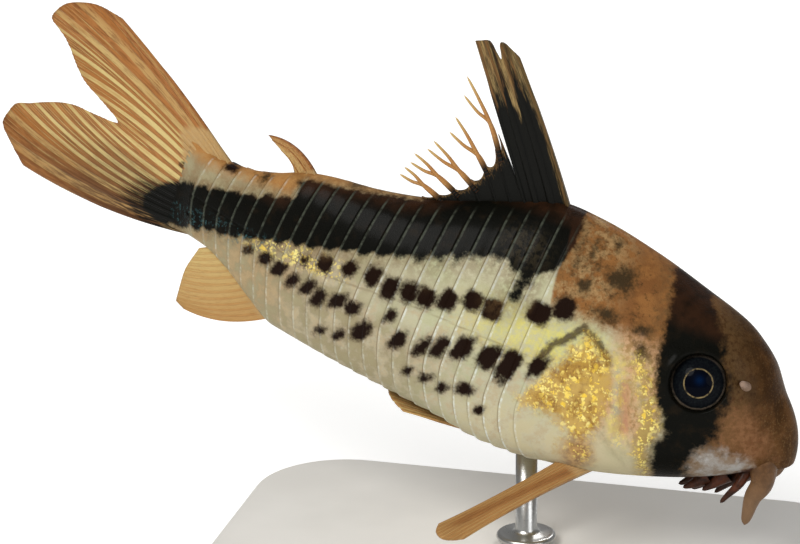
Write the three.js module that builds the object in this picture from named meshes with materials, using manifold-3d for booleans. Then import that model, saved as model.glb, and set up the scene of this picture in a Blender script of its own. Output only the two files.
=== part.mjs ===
// A life-size corydoras catfish, swimming head-down over a plain display stand. Millimetres, +X to
// the head, +Y to the fish's left, +Z up. The origin is the middle of the stand's underside.
//
// The body is drawn like a boat's hull. Stations are counted in millimetres behind the snout tip, and
// smooth lines give the back, the belly, the half width and the fullness at every station. The tail is
// then bent to the left along an arc, and the whole fish is pitched down and set over its stand.
import * as THREE from "three";
import { mergeVertices } from "three/addons/utils/BufferGeometryUtils.js";
import Module from "manifold-3d";

const wasm = await Module();
wasm.setup();

// Driving dimensions of the fish.
const STANDARD_LENGTH = 48.5;
const PITCH = THREE.MathUtils.degToRad(16.7);
const BEND_START = 26;
const BEND_RADIUS = 75;
const GAP = 0.3;
const SNOUT_HEIGHT = -1.6;
const SNOUT_ROUNDING = 6;
const SNOUT_SIDE_ROUNDING = 5;
const HEAD_END = 12.9;

// Scutes: the bony plates in two rows on each flank.
const FIRST_SCUTE = 18.6;
const SCUTE_PITCH = 1.25;
const SCUTE_COUNT = 24;
const SCUTES_ON_TORSO = 16;
const SCUTE_LIFT = 0.22;
const SCUTE_STEP = 0.14;

// Driving dimensions of the stand.
const BASE_LENGTH = 46;
const BASE_WIDTH = 27;
const BASE_HEIGHT = 3;
const BASE_CORNER = 7;
const BASE_BEVEL = 0.5;
const ROD_RADIUS = 0.8;
const ROD_FOOT_RADIUS = 2.2;
const ROD_FOOT_HEIGHT = 0.7;
const ROD_STATION = 19.2;
const FISH_FORWARD = 20;
const FISH_HEIGHT = 9.9;

// A smooth curve through [station, value] pairs that never overshoots them, held level past its ends.
function smoothLine(pairs) {
  const steps = pairs.slice(1).map(([s, v], i) => ({
    width: s - pairs[i][0],
    slope: (v - pairs[i][1]) / (s - pairs[i][0]),
  }));
  const slopes = pairs.map((pair, i) => {
    const before = steps[i - 1];
    const after = steps[i];
    if (!before || !after) return (before ?? after).slope;
    if (before.slope * after.slope <= 0) return 0;
    const a = 2 * after.width + before.width;
    const b = after.width + 2 * before.width;
    return (a + b) / (a / before.slope + b / after.slope);
  });
  return (station) => {
    if (station <= pairs[0][0]) return pairs[0][1];
    if (station >= pairs[pairs.length - 1][0]) return pairs[pairs.length - 1][1];
    const i = pairs.findIndex(([s]) => s > station) - 1;
    const { width } = steps[i];
    const t = (station - pairs[i][0]) / width;
    const t2 = t * t;
    const t3 = t2 * t;
    return (
      (2 * t3 - 3 * t2 + 1) * pairs[i][1] +
      (t3 - 2 * t2 + t) * width * slopes[i] +
      (3 * t2 - 2 * t3) * pairs[i + 1][1] +
      (t3 - t2) * width * slopes[i + 1]
    );
  };
}

// The hull lines.
const backLine = smoothLine([
  [0, 4.1], [2, 4.4], [3.6, 5.7], [5, 6.4], [6.6, 7.25], [9.7, 8.3], [14.2, 9.8], [18.8, 10.8],
  [21.2, 11], [26, 9.5], [31.5, 7.4], [35.6, 6.4], [38.8, 5.9], [41, 5.3], [43.2, 4.25], [45.5, 3.5],
  [48.5, 3.2],
]);
const bellyLine = smoothLine([
  [0, -3], [1.8, -3.2], [4.7, -4.2], [7.6, -5.3], [11.5, -6.3], [15.5, -7], [19.6, -7.4], [22, -7.45],
  [25.7, -7.05], [31.7, -6.9], [36, -6.9], [39.6, -6.8], [42.3, -5.6], [44.5, -4.4], [46.8, -3.6],
  [48.5, -3.45],
]);
const halfWidthLine = smoothLine([
  [0, 3], [2, 3.3], [4, 3.8], [6, 4.4], [8, 4.9], [10, 5.4], [12, 5.9], [15, 6.3], [20, 6.2],
  [24, 5.7], [28, 5], [32, 4.2], [36, 3.3], [40, 2.45], [44, 1.75], [48.5, 1.15],
]);
const widestLine = smoothLine([
  [0, -1.6], [4, -0.9], [8, -0.8], [12, -1.8], [16, -2.6], [22, -2.6], [28, -1.8], [34, -1], [48.5, 0],
]);
const seamLine = smoothLine([[0, 0.4], [12, 0.6], [20, 1.2], [28, 1.1], [39, -0.2], [48.5, 0]]);
const backFullness = smoothLine([[0, 2], [8, 2.1], [14, 1.8], [20, 1.7], [30, 1.8], [48.5, 2.1]]);
const bellyFullness = smoothLine([[0, 2], [4, 2.3], [10, 3], [20, 3.4], [34, 2.8], [40, 2.2], [48.5, 2.1]]);

// How far the snout's round end has opened at a station, from 0 at the tip to 1.
function rounding(station, length) {
  const left = Math.max(0, 1 - station / length);
  return Math.sqrt(Math.max(0, 1 - left * left));
}

// The cross-section at a station: an oval with its own fullness above and below its widest line.
function section(station) {
  const open = rounding(station, SNOUT_ROUNDING);
  const fromSnout = (height) => SNOUT_HEIGHT + (height - SNOUT_HEIGHT) * open;
  return {
    back: fromSnout(backLine(station)),
    belly: fromSnout(bellyLine(station)),
    widest: fromSnout(widestLine(station)),
    half: halfWidthLine(station) * rounding(station, SNOUT_SIDE_ROUNDING),
    backPower: 2 / backFullness(station),
    bellyPower: 2 / bellyFullness(station),
  };
}

// A point of the straight hull. The turn runs from 0 on the back, by the right flank at a quarter turn,
// to pi under the belly and on up the left flank. The lift pushes it out square to the section.
function hullPoint(station, turn, lift = 0) {
  const { back, belly, widest, half, backPower, bellyPower } = section(station);
  const across = Math.sin(turn);
  const up = Math.cos(turn);
  const power = up >= 0 ? backPower : bellyPower;
  const height = up >= 0 ? back - widest : widest - belly;
  const y = -half * Math.sign(across) * Math.abs(across) ** power;
  const z = widest + height * Math.sign(up) * Math.abs(up) ** power;
  const normalY = (-Math.sign(across) * Math.abs(across) ** (2 - power)) / Math.max(half, 0.05);
  const normalZ = (Math.sign(up) * Math.abs(up) ** (2 - power)) / Math.max(height, 0.05);
  const long = Math.hypot(normalY, normalZ) || 1;
  return new THREE.Vector3(-station, y + (lift * normalY) / long, z + (lift * normalZ) / long);
}

// The swimming bend: behind BEND_START the straight fish's length wraps round an arc to the left.
function bend(point) {
  const past = -point.x - BEND_START;
  if (past <= 0) return point.clone();
  const angle = past / BEND_RADIUS;
  return new THREE.Vector3(
    -BEND_START - (BEND_RADIUS - point.y) * Math.sin(angle),
    BEND_RADIUS - (BEND_RADIUS - point.y) * Math.cos(angle),
    point.z,
  );
}

// The turns of one ring's points: even steps from the back to the row seam, and from it to the belly.
const UPPER_STEPS = 7;
const LOWER_STEPS = 9;
const SEAM_GROOVE = 0.06;
function ringTurns(station) {
  const { back, widest, backPower } = section(station);
  const share = THREE.MathUtils.clamp((seamLine(station) - widest) / (back - widest), 0.02, 0.9);
  const seam = Math.acos(share ** (1 / backPower));
  const right = [];
  const above = seam - SEAM_GROOVE;
  const below = seam + SEAM_GROOVE;
  for (let i = 0; i <= UPPER_STEPS; i += 1) right.push((above * i) / UPPER_STEPS);
  right.push(seam);
  for (let i = 0; i <= LOWER_STEPS; i += 1) right.push(below + ((Math.PI - below) * i) / LOWER_STEPS);
  const left = right.slice(1, -1).reverse().map((turn) => 2 * Math.PI - turn);
  return { turns: [...right, ...left], seam };
}

// Plate borders run forward from the row seam, up to the back and down to the belly.
const UPPER_SLANT = 0.9;
const LOWER_SLANT = 2;
const FULL_DEPTH = 18;
function slant(station, turn) {
  const { back, belly } = section(station);
  const up = Math.cos(turn);
  const depth = (back - belly) / FULL_DEPTH;
  return depth * (up > 0 ? UPPER_SLANT * up ** 1.5 : LOWER_SLANT * -up);
}

// One ring round the hull, its points moved along by the border's slant and out by the lift.
function ring(station, { lift = () => 0, slanted = 0 } = {}) {
  return ringTurns(station).turns.map((turn) => {
    const at = station - slanted * slant(station, turn);
    return hullPoint(at, turn, lift(at, turn));
  });
}

// A closed surface through rings of equal count, its ends fanned to their middles.
function skinRings(rings, { startPoint, endPoint } = {}) {
  const count = rings[0].length;
  const middle = (points) => points.reduce((sum, p) => sum.add(p), new THREE.Vector3()).divideScalar(count);
  const points = [...rings.flat(), startPoint ?? middle(rings[0]), endPoint ?? middle(rings.at(-1))];
  const first = points.length - 2;
  const last = points.length - 1;
  const faces = [];
  for (let i = 0; i < count; i += 1) {
    const next = (i + 1) % count;
    faces.push([first, i, next]);
    faces.push([last, (rings.length - 1) * count + next, (rings.length - 1) * count + i]);
    for (let r = 0; r + 1 < rings.length; r += 1) {
      const a = r * count + i;
      const b = r * count + next;
      faces.push([a, a + count, b], [b, a + count, b + count]);
    }
  }
  return surface(points, faces);
}

function surface(points, faces) {
  const geometry = new THREE.BufferGeometry().setFromPoints(points);
  geometry.setIndex(faces.flat());
  return geometry;
}

// Solids for cutting and joining.
function solidOf(geometry) {
  const bare = geometry.clone();
  for (const name of ["normal", "uv"]) bare.deleteAttribute(name);
  const merged = mergeVertices(bare, 1e-4);
  const triVerts = new Uint32Array(merged.index.array);
  const mesh = new wasm.Mesh({ numProp: 3, vertProperties: merged.attributes.position.array, triVerts });
  const made = new wasm.Manifold(mesh);
  if (made.volume() > 0) return made;
  for (let i = 0; i < triVerts.length; i += 3) [triVerts[i], triVerts[i + 1]] = [triVerts[i + 1], triVerts[i]];
  return new wasm.Manifold(
    new wasm.Mesh({ numProp: 3, vertProperties: merged.attributes.position.array, triVerts }),
  );
}

// The largest closed surface, without slivers finer than SLIVER.
const SLIVER = 0.012;
function largest(solid) {
  const kept = solid.decompose().reduce((best, part) => (part.volume() > best.volume() ? part : best));
  return kept.asOriginal().simplify(SLIVER);
}

function joined(...solids) {
  return solids.reduce((sum, solid) => sum.add(solid));
}

function geometryOf(solid) {
  const { numProp, numVert, vertProperties, triVerts } = solid.getMesh();
  const points = [];
  for (let i = 0; i < numVert; i += 1) {
    points.push(new THREE.Vector3().fromArray(vertProperties, i * numProp));
  }
  const geometry = new THREE.BufferGeometry().setFromPoints(points);
  geometry.setIndex([...triVerts]);
  geometry.computeVertexNormals();
  return geometry;
}

function bent(geometry) {
  const { position } = geometry.attributes;
  for (let i = 0; i < position.count; i += 1) {
    const point = bend(new THREE.Vector3().fromBufferAttribute(position, i));
    position.setXYZ(i, point.x, point.y, point.z);
  }
  return geometry;
}

// Where a station's height lies on the right flank of the straight hull.
function flankPoint(station, height, lift = 0) {
  const { back, belly, widest, backPower, bellyPower } = section(station);
  const above = height >= widest;
  const reach = above ? back - widest : widest - belly;
  const share = THREE.MathUtils.clamp(Math.abs(height - widest) / reach, 0, 1);
  const turn = Math.acos(share ** (1 / (above ? backPower : bellyPower)));
  return hullPoint(station, above ? turn : Math.PI - turn, lift);
}

// Raised plates of the head and shoulder.
const OPERCLE = { front: 9.4, rear: 12.6, low: -4.4, high: 3.2, lift: 0.22 };
const SHOULDER = { front: 13.5, rear: 18.2, low: -6.2, high: 2.4, lift: 0.2 };
function plateLift({ front, rear, low, high, lift }) {
  return (station, turn) => {
    const { z } = hullPoint(station, turn);
    const inside = station > front && station < rear && z > low && z < high;
    return inside ? lift : 0;
  };
}

const opercleLift = plateLift(OPERCLE);
const shoulderLift = plateLift(SHOULDER);

// A scute's lift: full on the flanks, none on the bare belly before the anal fin or on the ridge.
const BARE_BELLY_END = 39;
const SEAM_DEPTH = -0.05;
function scuteLift(station, turn) {
  const up = Math.cos(turn);
  if (Math.abs(Math.abs(up) - Math.abs(Math.cos(ringTurns(station).seam))) < 0.01) return SEAM_DEPTH;
  if (up < -0.82 && station < BARE_BELLY_END) return 0;
  if (up > 0.985) return 0;
  return SCUTE_LIFT;
}

function scuteRings(first, count) {
  const rings = [];
  for (let i = first; i < first + count; i += 1) {
    const front = FIRST_SCUTE + i * SCUTE_PITCH;
    rings.push(ring(front + SCUTE_STEP, { slanted: 1 }));
    rings.push(ring(front + SCUTE_PITCH, { slanted: 1, lift: scuteLift }));
  }
  return rings;
}

const HEAD_STATIONS = [0.06, 0.3, 0.8, 1.5, 2.4, 3.5, 4.7, 6, 7.3, 8.5, 9.3];
function headHull() {
  const rings = HEAD_STATIONS.map((station) => ring(station));
  rings.push(ring(OPERCLE.front + 0.25, { lift: opercleLift }));
  rings.push(ring(11, { lift: opercleLift }));
  rings.push(ring(OPERCLE.rear - 0.05, { lift: opercleLift }));
  rings.push(ring(HEAD_END));
  return skinRings(rings, { startPoint: new THREE.Vector3(0, 0, SNOUT_HEIGHT) });
}

function torsoHull() {
  const rings = [
    ring(HEAD_END + GAP),
    ring(SHOULDER.front + 0.2, { lift: shoulderLift }),
    ring(15.5, { lift: shoulderLift }),
    ring(16.9, { lift: shoulderLift, slanted: 0.5 }),
    ring(SHOULDER.rear, { lift: shoulderLift, slanted: 1 }),
    ...scuteRings(0, SCUTES_ON_TORSO),
  ];
  return bent(skinRings(rings));
}

function tailStemHull() {
  const rings = scuteRings(SCUTES_ON_TORSO, SCUTE_COUNT - SCUTES_ON_TORSO);
  rings[0] = ring(FIRST_SCUTE + SCUTES_ON_TORSO * SCUTE_PITCH + GAP, { slanted: 1, lift: scuteLift });
  return bent(skinRings(rings));
}

// The whole hull swollen by the gap, which trims every root that meets it.
function swollenHull() {
  const lift = () => GAP + SCUTE_LIFT * 0.6;
  const stations = [...HEAD_STATIONS, 11];
  for (let station = 12.9; station < STANDARD_LENGTH; station += SCUTE_PITCH) stations.push(station);
  stations.push(STANDARD_LENGTH + 0.2);
  const rings = stations.map((station) => ring(station, { lift }));
  return solidOf(bent(skinRings(rings, { startPoint: new THREE.Vector3(GAP, 0, SNOUT_HEIGHT) })));
}

// A fin fan. Each ray runs from its root to its tip on a bow, and lies in the fan's own plane as
// [along, up]. Rays stand as ridges on the web between them, and both faces are split alike.
const WEB_THICKNESS = 0.5;
const RAY_THICKNESS = 0.85;
const TIP_THICKNESS = 0.3;
function finFan({ rays, rows = 5, webReach = () => 0.97, rayThickness = RAY_THICKNESS, place }) {
  const pointOn = ({ root, tip, bow = [0, 0] }, t) => [
    root[0] + (tip[0] - root[0]) * t + bow[0] * 4 * t * (1 - t),
    root[1] + (tip[1] - root[1]) * t + bow[1] * 4 * t * (1 - t),
  ];
  const columns = [];
  rays.forEach((ray, i) => {
    const thick = i === 0 ? rayThickness * 1.15 : rayThickness;
    columns.push({ at: (t) => pointOn(ray, t), thick: (t) => thick + (TIP_THICKNESS - thick) * t ** 1.5 });
    const next = rays[i + 1];
    if (!next) return;
    const reach = webReach(i);
    columns.push({
      at: (t) => {
        const a = pointOn(ray, t * reach);
        const b = pointOn(next, t * reach);
        return [(a[0] + b[0]) / 2, (a[1] + b[1]) / 2];
      },
      thick: (t) => WEB_THICKNESS + (TIP_THICKNESS - WEB_THICKNESS) * t ** 3,
    });
  });
  const points = [];
  for (const side of [1, -1]) {
    for (const { at, thick } of columns) {
      for (let r = 0; r <= rows; r += 1) {
        const t = r / rows;
        points.push(place(...at(t), (side * thick(t)) / 2));
      }
    }
  }
  const per = rows + 1;
  const half = columns.length * per;
  const faces = [];
  for (let c = 0; c + 1 < columns.length; c += 1) {
    for (let r = 0; r < rows; r += 1) {
      const a = c * per + r;
      const b = a + per;
      faces.push([a, b, a + 1], [b, b + 1, a + 1]);
      faces.push([half + a, half + a + 1, half + b], [half + b, half + a + 1, half + b + 1]);
    }
  }
  const rim = [];
  for (let r = 0; r < rows; r += 1) rim.push(r);
  for (let c = 0; c < columns.length - 1; c += 1) rim.push(c * per + rows);
  for (let r = rows; r > 0; r -= 1) rim.push((columns.length - 1) * per + r);
  for (let c = columns.length - 1; c > 0; c -= 1) rim.push(c * per);
  rim.forEach((a, i) => {
    const b = rim[(i + 1) % rim.length];
    faces.push([a, b, half + a], [b, half + b, half + a]);
  });
  return surface(points, faces);
}

// A median fin stands in the fish's middle plane.
const median = (along, up, out) => new THREE.Vector3(-along, out, up);

// A tapered spine, barbel or free ray through points, with its radius at the root and at the tip.
function taper({ through, root, tip, sides = 6, steps = 5, flat = 1 }) {
  const curve = new THREE.CatmullRomCurve3(through);
  const frames = curve.computeFrenetFrames(steps, false);
  const rings = [];
  for (let i = 0; i <= steps; i += 1) {
    const t = i / steps;
    const centre = curve.getPointAt(t);
    const radius = root + (tip - root) * t;
    rings.push(
      Array.from({ length: sides }, (unused, k) => {
        const turn = (2 * Math.PI * k) / sides;
        return centre
          .clone()
          .addScaledVector(frames.normals[i], radius * Math.cos(turn))
          .addScaledVector(frames.binormals[i], radius * flat * Math.sin(turn));
      }),
    );
  }
  return skinRings(rings);
}

// Fins on the middle line, as [station, height] of each ray's root and tip.
const DORSAL_RAYS = [
  { root: [20.9, 10.1], tip: [28.2, 20.3], bow: [-0.1, 0.15] },
  { root: [22.2, 9.8], tip: [29.8, 20.95], bow: [-0.1, 0.2] },
  { root: [23.3, 9.4], tip: [30.8, 20.75], bow: [-0.1, 0.1] },
  { root: [24.1, 9.1], tip: [31.7, 20.3], bow: [-0.1, -0.1] },
];
const FREE_DORSAL_RAYS = [
  { root: [25.1, 8.8], web: [27.8, 13], fork: [29, 15.2], tips: [[31.6, 17.5], [31.4, 15.9]] },
  { root: [26.1, 8.4], web: [28.2, 11.4], fork: [29.9, 12.8], tips: [[31.4, 14.4], [31.6, 12.9]] },
  { root: [27.2, 8], web: [28.8, 9.9], fork: [30.6, 10.7], tips: [[32.4, 11.9], [32.7, 11]] },
  { root: [28.4, 7.6], web: [29.8, 8.8], fork: [31.6, 9.4], tips: [[33.6, 10.5], [33.7, 9.6]] },
  { root: [29.7, 7.1], web: [31, 7.9], fork: [32.4, 8.3], tips: [[34.2, 9], [34.3, 8.2]] },
];
const FREE_RAY = { stem: 0.36, fork: 0.3, tip: 0.14, sides: 6 };

function dorsalFin(trim) {
  const blade = finFan({ rays: DORSAL_RAYS, rows: 6, webReach: (i) => (i === 1 ? 0.86 : 0.98), place: median });
  const web = finFan({
    rays: [
      { root: [23.8, 9.2], tip: [27.9, 14.4] },
      ...FREE_DORSAL_RAYS.map(({ root, web: end }) => ({ root, tip: end })),
    ],
    rows: 3,
    webReach: () => 0.88,
    rayThickness: 0.66,
    place: median,
  });
  const pieces = [blade, web];
  const prong = (from, to, root, tip) => {
    const start = [from[0] - (to[0] - from[0]) * 0.2, from[1] - (to[1] - from[1]) * 0.2];
    const middle = [(from[0] + to[0]) / 2, (from[1] + to[1]) / 2];
    const through = [start, middle, to].map(([along, up]) => median(along, up, 0));
    pieces.push(taper({ through, root, tip, steps: 2, sides: FREE_RAY.sides }));
  };
  for (const { web: end, fork, tips } of FREE_DORSAL_RAYS) {
    prong(end, fork, FREE_RAY.stem, FREE_RAY.fork);
    for (const tip of tips) prong(fork, tip, FREE_RAY.fork * 0.9, FREE_RAY.tip);
  }
  return largest(joined(...pieces.map((piece) => solidOf(bent(piece)))).subtract(trim));
}

const CAUDAL_ROOT = STANDARD_LENGTH;
const CAUDAL_RAYS = 17;
const caudalTipAlong = smoothLine([
  [0, 59.5], [0.05, 61.6], [0.1, 64], [0.16, 66.4], [0.27, 63.6], [0.38, 60.6], [0.5, 56.9],
  [0.6, 60.4], [0.7, 63.3], [0.8, 65.6], [0.88, 67.5], [0.93, 67.9], [0.965, 66.5], [1, 63],
]);
const caudalTipHeight = smoothLine([
  [0, 9], [0.05, 8.85], [0.1, 8], [0.16, 6.3], [0.27, 4.7], [0.38, 3.1], [0.5, 1.75],
  [0.6, 1.1], [0.7, 0.1], [0.8, -1.2], [0.88, -2.4], [0.93, -3.4], [0.965, -4.9], [1, -5.8],
]);
function caudalFin(trim) {
  const rays = Array.from({ length: CAUDAL_RAYS }, (unused, i) => {
    const share = i / (CAUDAL_RAYS - 1);
    const side = 1 - 2 * share;
    return {
      root: [CAUDAL_ROOT - 0.4 - 1.2 * side * side, 0.05 + 2.9 * side],
      tip: [caudalTipAlong(share), caudalTipHeight(share)],
      bow: [0, side * 0.55],
    };
  });
  return largest(solidOf(bent(finFan({ rays, rows: 7, place: median }))).subtract(trim));
}

const ANAL_RAYS = 8;
const analTipAlong = smoothLine([[0, 47.1], [0.2, 48], [0.6, 47.9], [1, 47.4]]);
const analTipHeight = smoothLine([[0, -9.05], [0.2, -8.75], [0.6, -6.4], [1, -4.1]]);
function analFin(trim) {
  const rays = Array.from({ length: ANAL_RAYS }, (unused, i) => {
    const share = i / (ANAL_RAYS - 1);
    return {
      root: [39.9 + 5.8 * share, -6.2 + 3.2 * share],
      tip: [analTipAlong(share), analTipHeight(share)],
      bow: [0, -0.7 * (1 - share)],
    };
  });
  return largest(solidOf(bent(finFan({ rays, rows: 5, place: median }))).subtract(trim));
}

function adiposeFin(trim) {
  const rays = [
    { root: [39.8, 5.1], tip: [44.65, 6.7], bow: [-0.1, 0.8] },
    { root: [41, 4.7], tip: [43.95, 6.35], bow: [0, 0.3] },
    { root: [42, 4.3], tip: [42.9, 5.65] },
  ];
  return largest(solidOf(bent(finFan({ rays, rows: 4, place: median }))).subtract(trim));
}

// A paired fin lies in its own plane: along its spine, and across it to the trailing edge.
function pairedPlace(root, along, facing, side) {
  const length = new THREE.Vector3(...along).normalize();
  const across = new THREE.Vector3().crossVectors(new THREE.Vector3(...facing), length).normalize();
  const normal = new THREE.Vector3().crossVectors(length, across);
  return (a, b, out) => {
    const point = new THREE.Vector3(...root)
      .addScaledVector(length, a)
      .addScaledVector(across, b)
      .addScaledVector(normal, out);
    point.y *= side;
    return point;
  };
}

const PECTORAL = { root: [-14.9, -4.6, -6], along: [-6.6, -8, -5.1], facing: [0.1, -0.6, 0.8] };
const PECTORAL_LENGTH = 11.9;
const PECTORAL_RAYS = 6;
function pectoralFin(side, trim) {
  const place = pairedPlace(PECTORAL.root, PECTORAL.along, PECTORAL.facing, side);
  const rays = Array.from({ length: PECTORAL_RAYS }, (unused, i) => {
    const share = i / (PECTORAL_RAYS - 1);
    return {
      root: [-0.6, 1.2 * share],
      tip: [PECTORAL_LENGTH * (1 - 0.03 * (1 - share) - 0.16 * share ** 3), -0.2 + 1.7 * share],
      bow: [0, -0.15 + 0.3 * share],
    };
  });
  return largest(solidOf(finFan({ rays, rows: 5, rayThickness: 0.95, place })).subtract(trim));
}

const PELVIC = { root: [-22.4, -1.5, -7.4], along: [-1, -0.05, 0.02], facing: [0, -0.12, 0.99] };
const PELVIC_LENGTH = 7.4;
const PELVIC_RAYS = 6;
function pelvicFin(side, trim) {
  const place = pairedPlace(PELVIC.root, PELVIC.along, PELVIC.facing, side);
  const rays = Array.from({ length: PELVIC_RAYS }, (unused, i) => {
    const share = i / (PELVIC_RAYS - 1);
    return {
      root: [-0.8, -0.5 + share],
      tip: [PELVIC_LENGTH * (1 - 0.25 * share ** 2), -0.9 + 2.6 * share],
    };
  });
  const geometry = finFan({ rays, rows: 4, rayThickness: 0.75, place });
  return largest(solidOf(bent(geometry)).subtract(trim));
}

// Eyes: flattened balls set in sockets, with a rim of skin round each.
const EYE = { station: 8, height: 3.4, radius: 2.15, depth: 1.5, inset: 1.05 };
const EYE_TILT = THREE.MathUtils.degToRad(19);
const EYE_TURN = THREE.MathUtils.degToRad(9);
function eyeMatrix(side) {
  const surfacePoint = flankPoint(EYE.station, EYE.height);
  const outward = new THREE.Vector3(
    Math.sin(EYE_TURN) * Math.cos(EYE_TILT),
    -Math.cos(EYE_TURN) * Math.cos(EYE_TILT),
    Math.sin(EYE_TILT),
  );
  const centre = surfacePoint.addScaledVector(outward, -EYE.inset);
  const turn = new THREE.Quaternion().setFromUnitVectors(new THREE.Vector3(0, 0, 1), outward);
  const matrix = new THREE.Matrix4().compose(centre, turn, new THREE.Vector3(1, 1, 1));
  return side < 0 ? matrix.premultiply(new THREE.Matrix4().makeScale(1, -1, 1)) : matrix;
}

function eyeball(side, swell = 0) {
  const ball = new THREE.SphereGeometry(1, 18, 12);
  const radius = EYE.radius + swell;
  return solidOf(ball.scale(radius, radius, EYE.depth + swell).applyMatrix4(eyeMatrix(side)));
}

const EYE_RIM = { radius: 2.45, thickness: 0.3, lift: 0.95 };
function eyeRim(side) {
  const torus = new THREE.TorusGeometry(EYE_RIM.radius, EYE_RIM.thickness, 5, 20);
  return solidOf(torus.translate(0, 0, EYE_RIM.lift).applyMatrix4(eyeMatrix(side)));
}

// Nostrils: a low tube with a flap behind it, on each side of the snout.
const NOSTRIL = { station: 4.3, height: 3.9, radius: 0.42, wall: 0.16 };
function nostril(side) {
  const centre = flankPoint(NOSTRIL.station, NOSTRIL.height);
  const outward = flankPoint(NOSTRIL.station, NOSTRIL.height, 1).sub(centre);
  const turn = new THREE.Quaternion().setFromUnitVectors(new THREE.Vector3(0, 0, 1), outward);
  const matrix = new THREE.Matrix4().compose(centre, turn, new THREE.Vector3(1, 1, 1));
  if (side < 0) matrix.premultiply(new THREE.Matrix4().makeScale(1, -1, 1));
  const rim = new THREE.TorusGeometry(NOSTRIL.radius, NOSTRIL.wall, 5, 10).translate(0, 0, 0.12);
  const tip = flankPoint(NOSTRIL.station + 0.75, NOSTRIL.height + 0.1, 0.75);
  const foot = flankPoint(NOSTRIL.station + 0.5, NOSTRIL.height, -0.4);
  tip.y *= side;
  foot.y *= side;
  const middle = foot.clone().lerp(tip, 0.5);
  const flap = taper({ through: [foot, middle, tip], root: 0.34, tip: 0.16, steps: 2 });
  return joined(solidOf(rim.applyMatrix4(matrix)), solidOf(flap));
}

// The mouth: a lip along each jaw round a thin curved slit, under the snout.
const MOUTH = { front: 1.55, rear: 3.6, half: 1.75, height: -3.15, drop: 0.55 };
function mouthArc(depthAlong, height, lift, spread = 1) {
  return Array.from({ length: 7 }, (unused, i) => {
    const across = (i / 3 - 1) * spread;
    const station = depthAlong + (MOUTH.rear - depthAlong) * across ** 2 * 0.75;
    return new THREE.Vector3(-station, MOUTH.half * across, height + lift * (1 - across ** 2));
  });
}

const LIP_RADIUS = 0.38;
function lips(swell = 0) {
  const size = { root: LIP_RADIUS + swell, tip: LIP_RADIUS + swell, steps: 10 };
  const upper = taper({ through: mouthArc(MOUTH.front, MOUTH.height, 0.35), ...size });
  const lower = taper({ through: mouthArc(MOUTH.front + 1.15, MOUTH.height - MOUTH.drop, 0.05, 0.94), ...size });
  return joined(solidOf(upper), solidOf(lower));
}

// The lower lip's two short flaps, drawn back under the chin.
function chinFlap(side) {
  const through = [[-3.1, 0.6, -3.3], [-3.9, 0.85, -4.4], [-4.7, 1.05, -5.7]].map(
    ([x, y, z]) => new THREE.Vector3(x, y * side, z),
  );
  return solidOf(taper({ through, root: 0.55, tip: 0.2, steps: 4 }));
}

function mouthSlit() {
  const through = mouthArc(MOUTH.front + 0.62, MOUTH.height - 0.25, 0.2, 0.9);
  return solidOf(taper({ through, root: 0.2, tip: 0.2, steps: 10, sides: 5 }));
}

function head() {
  let made = joined(solidOf(headHull()), lips());
  for (const side of [1, -1]) made = joined(made, eyeRim(side), nostril(side), chinFlap(side));
  for (const side of [1, -1]) made = made.subtract(eyeball(side, GAP));
  return largest(made.subtract(mouthSlit()));
}

// Barbels at each corner of the mouth: a stout upper one that runs down out of the snout, and a thinner
// lower one.
const BARBELS = {
  upper: {
    through: [[-1.6, -1.5, -2.1], [-1.4, -2.1, -3.3], [-1.8, -2.5, -4.3], [-1.75, -2.8, -5.6], [-1.7, -2.9, -6.4]],
    root: 1.05,
  },
  lower: { through: [[-2.9, -1.6, -2.9], [-3.1, -2.2, -3.9], [-3.6, -2.5, -4.9], [-3.9, -2.6, -5.6]], root: 0.48 },
};
const BARBEL_TIP = 0.2;
function barbel({ through, root }, side, trim) {
  const points = through.map(([x, y, z]) => new THREE.Vector3(x, y * side, z));
  const made = solidOf(taper({ through: points, root, tip: BARBEL_TIP, sides: 8, steps: 7 }));
  return largest(made.subtract(trim));
}

// The stand: a round-cornered base and one rod that ends against the belly.
function standBase() {
  const inner = { x: BASE_LENGTH / 2 - BASE_BEVEL, y: BASE_WIDTH / 2 - BASE_BEVEL };
  const corner = BASE_CORNER - BASE_BEVEL;
  const outline = new THREE.Shape();
  outline.moveTo(-inner.x + corner, -inner.y);
  outline.lineTo(inner.x - corner, -inner.y);
  outline.absarc(inner.x - corner, -inner.y + corner, corner, -Math.PI / 2, 0);
  outline.lineTo(inner.x, inner.y - corner);
  outline.absarc(inner.x - corner, inner.y - corner, corner, 0, Math.PI / 2);
  outline.lineTo(-inner.x + corner, inner.y);
  outline.absarc(-inner.x + corner, inner.y - corner, corner, Math.PI / 2, Math.PI);
  outline.lineTo(-inner.x, -inner.y + corner);
  outline.absarc(-inner.x + corner, -inner.y + corner, corner, Math.PI, Math.PI * 1.5);
  const slab = new THREE.ExtrudeGeometry(outline, {
    depth: BASE_HEIGHT - 2 * BASE_BEVEL,
    bevelSize: BASE_BEVEL,
    bevelThickness: BASE_BEVEL,
    bevelSegments: 1,
    curveSegments: 8,
  });
  return solidOf(slab.translate(0, 0, BASE_BEVEL));
}

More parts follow.
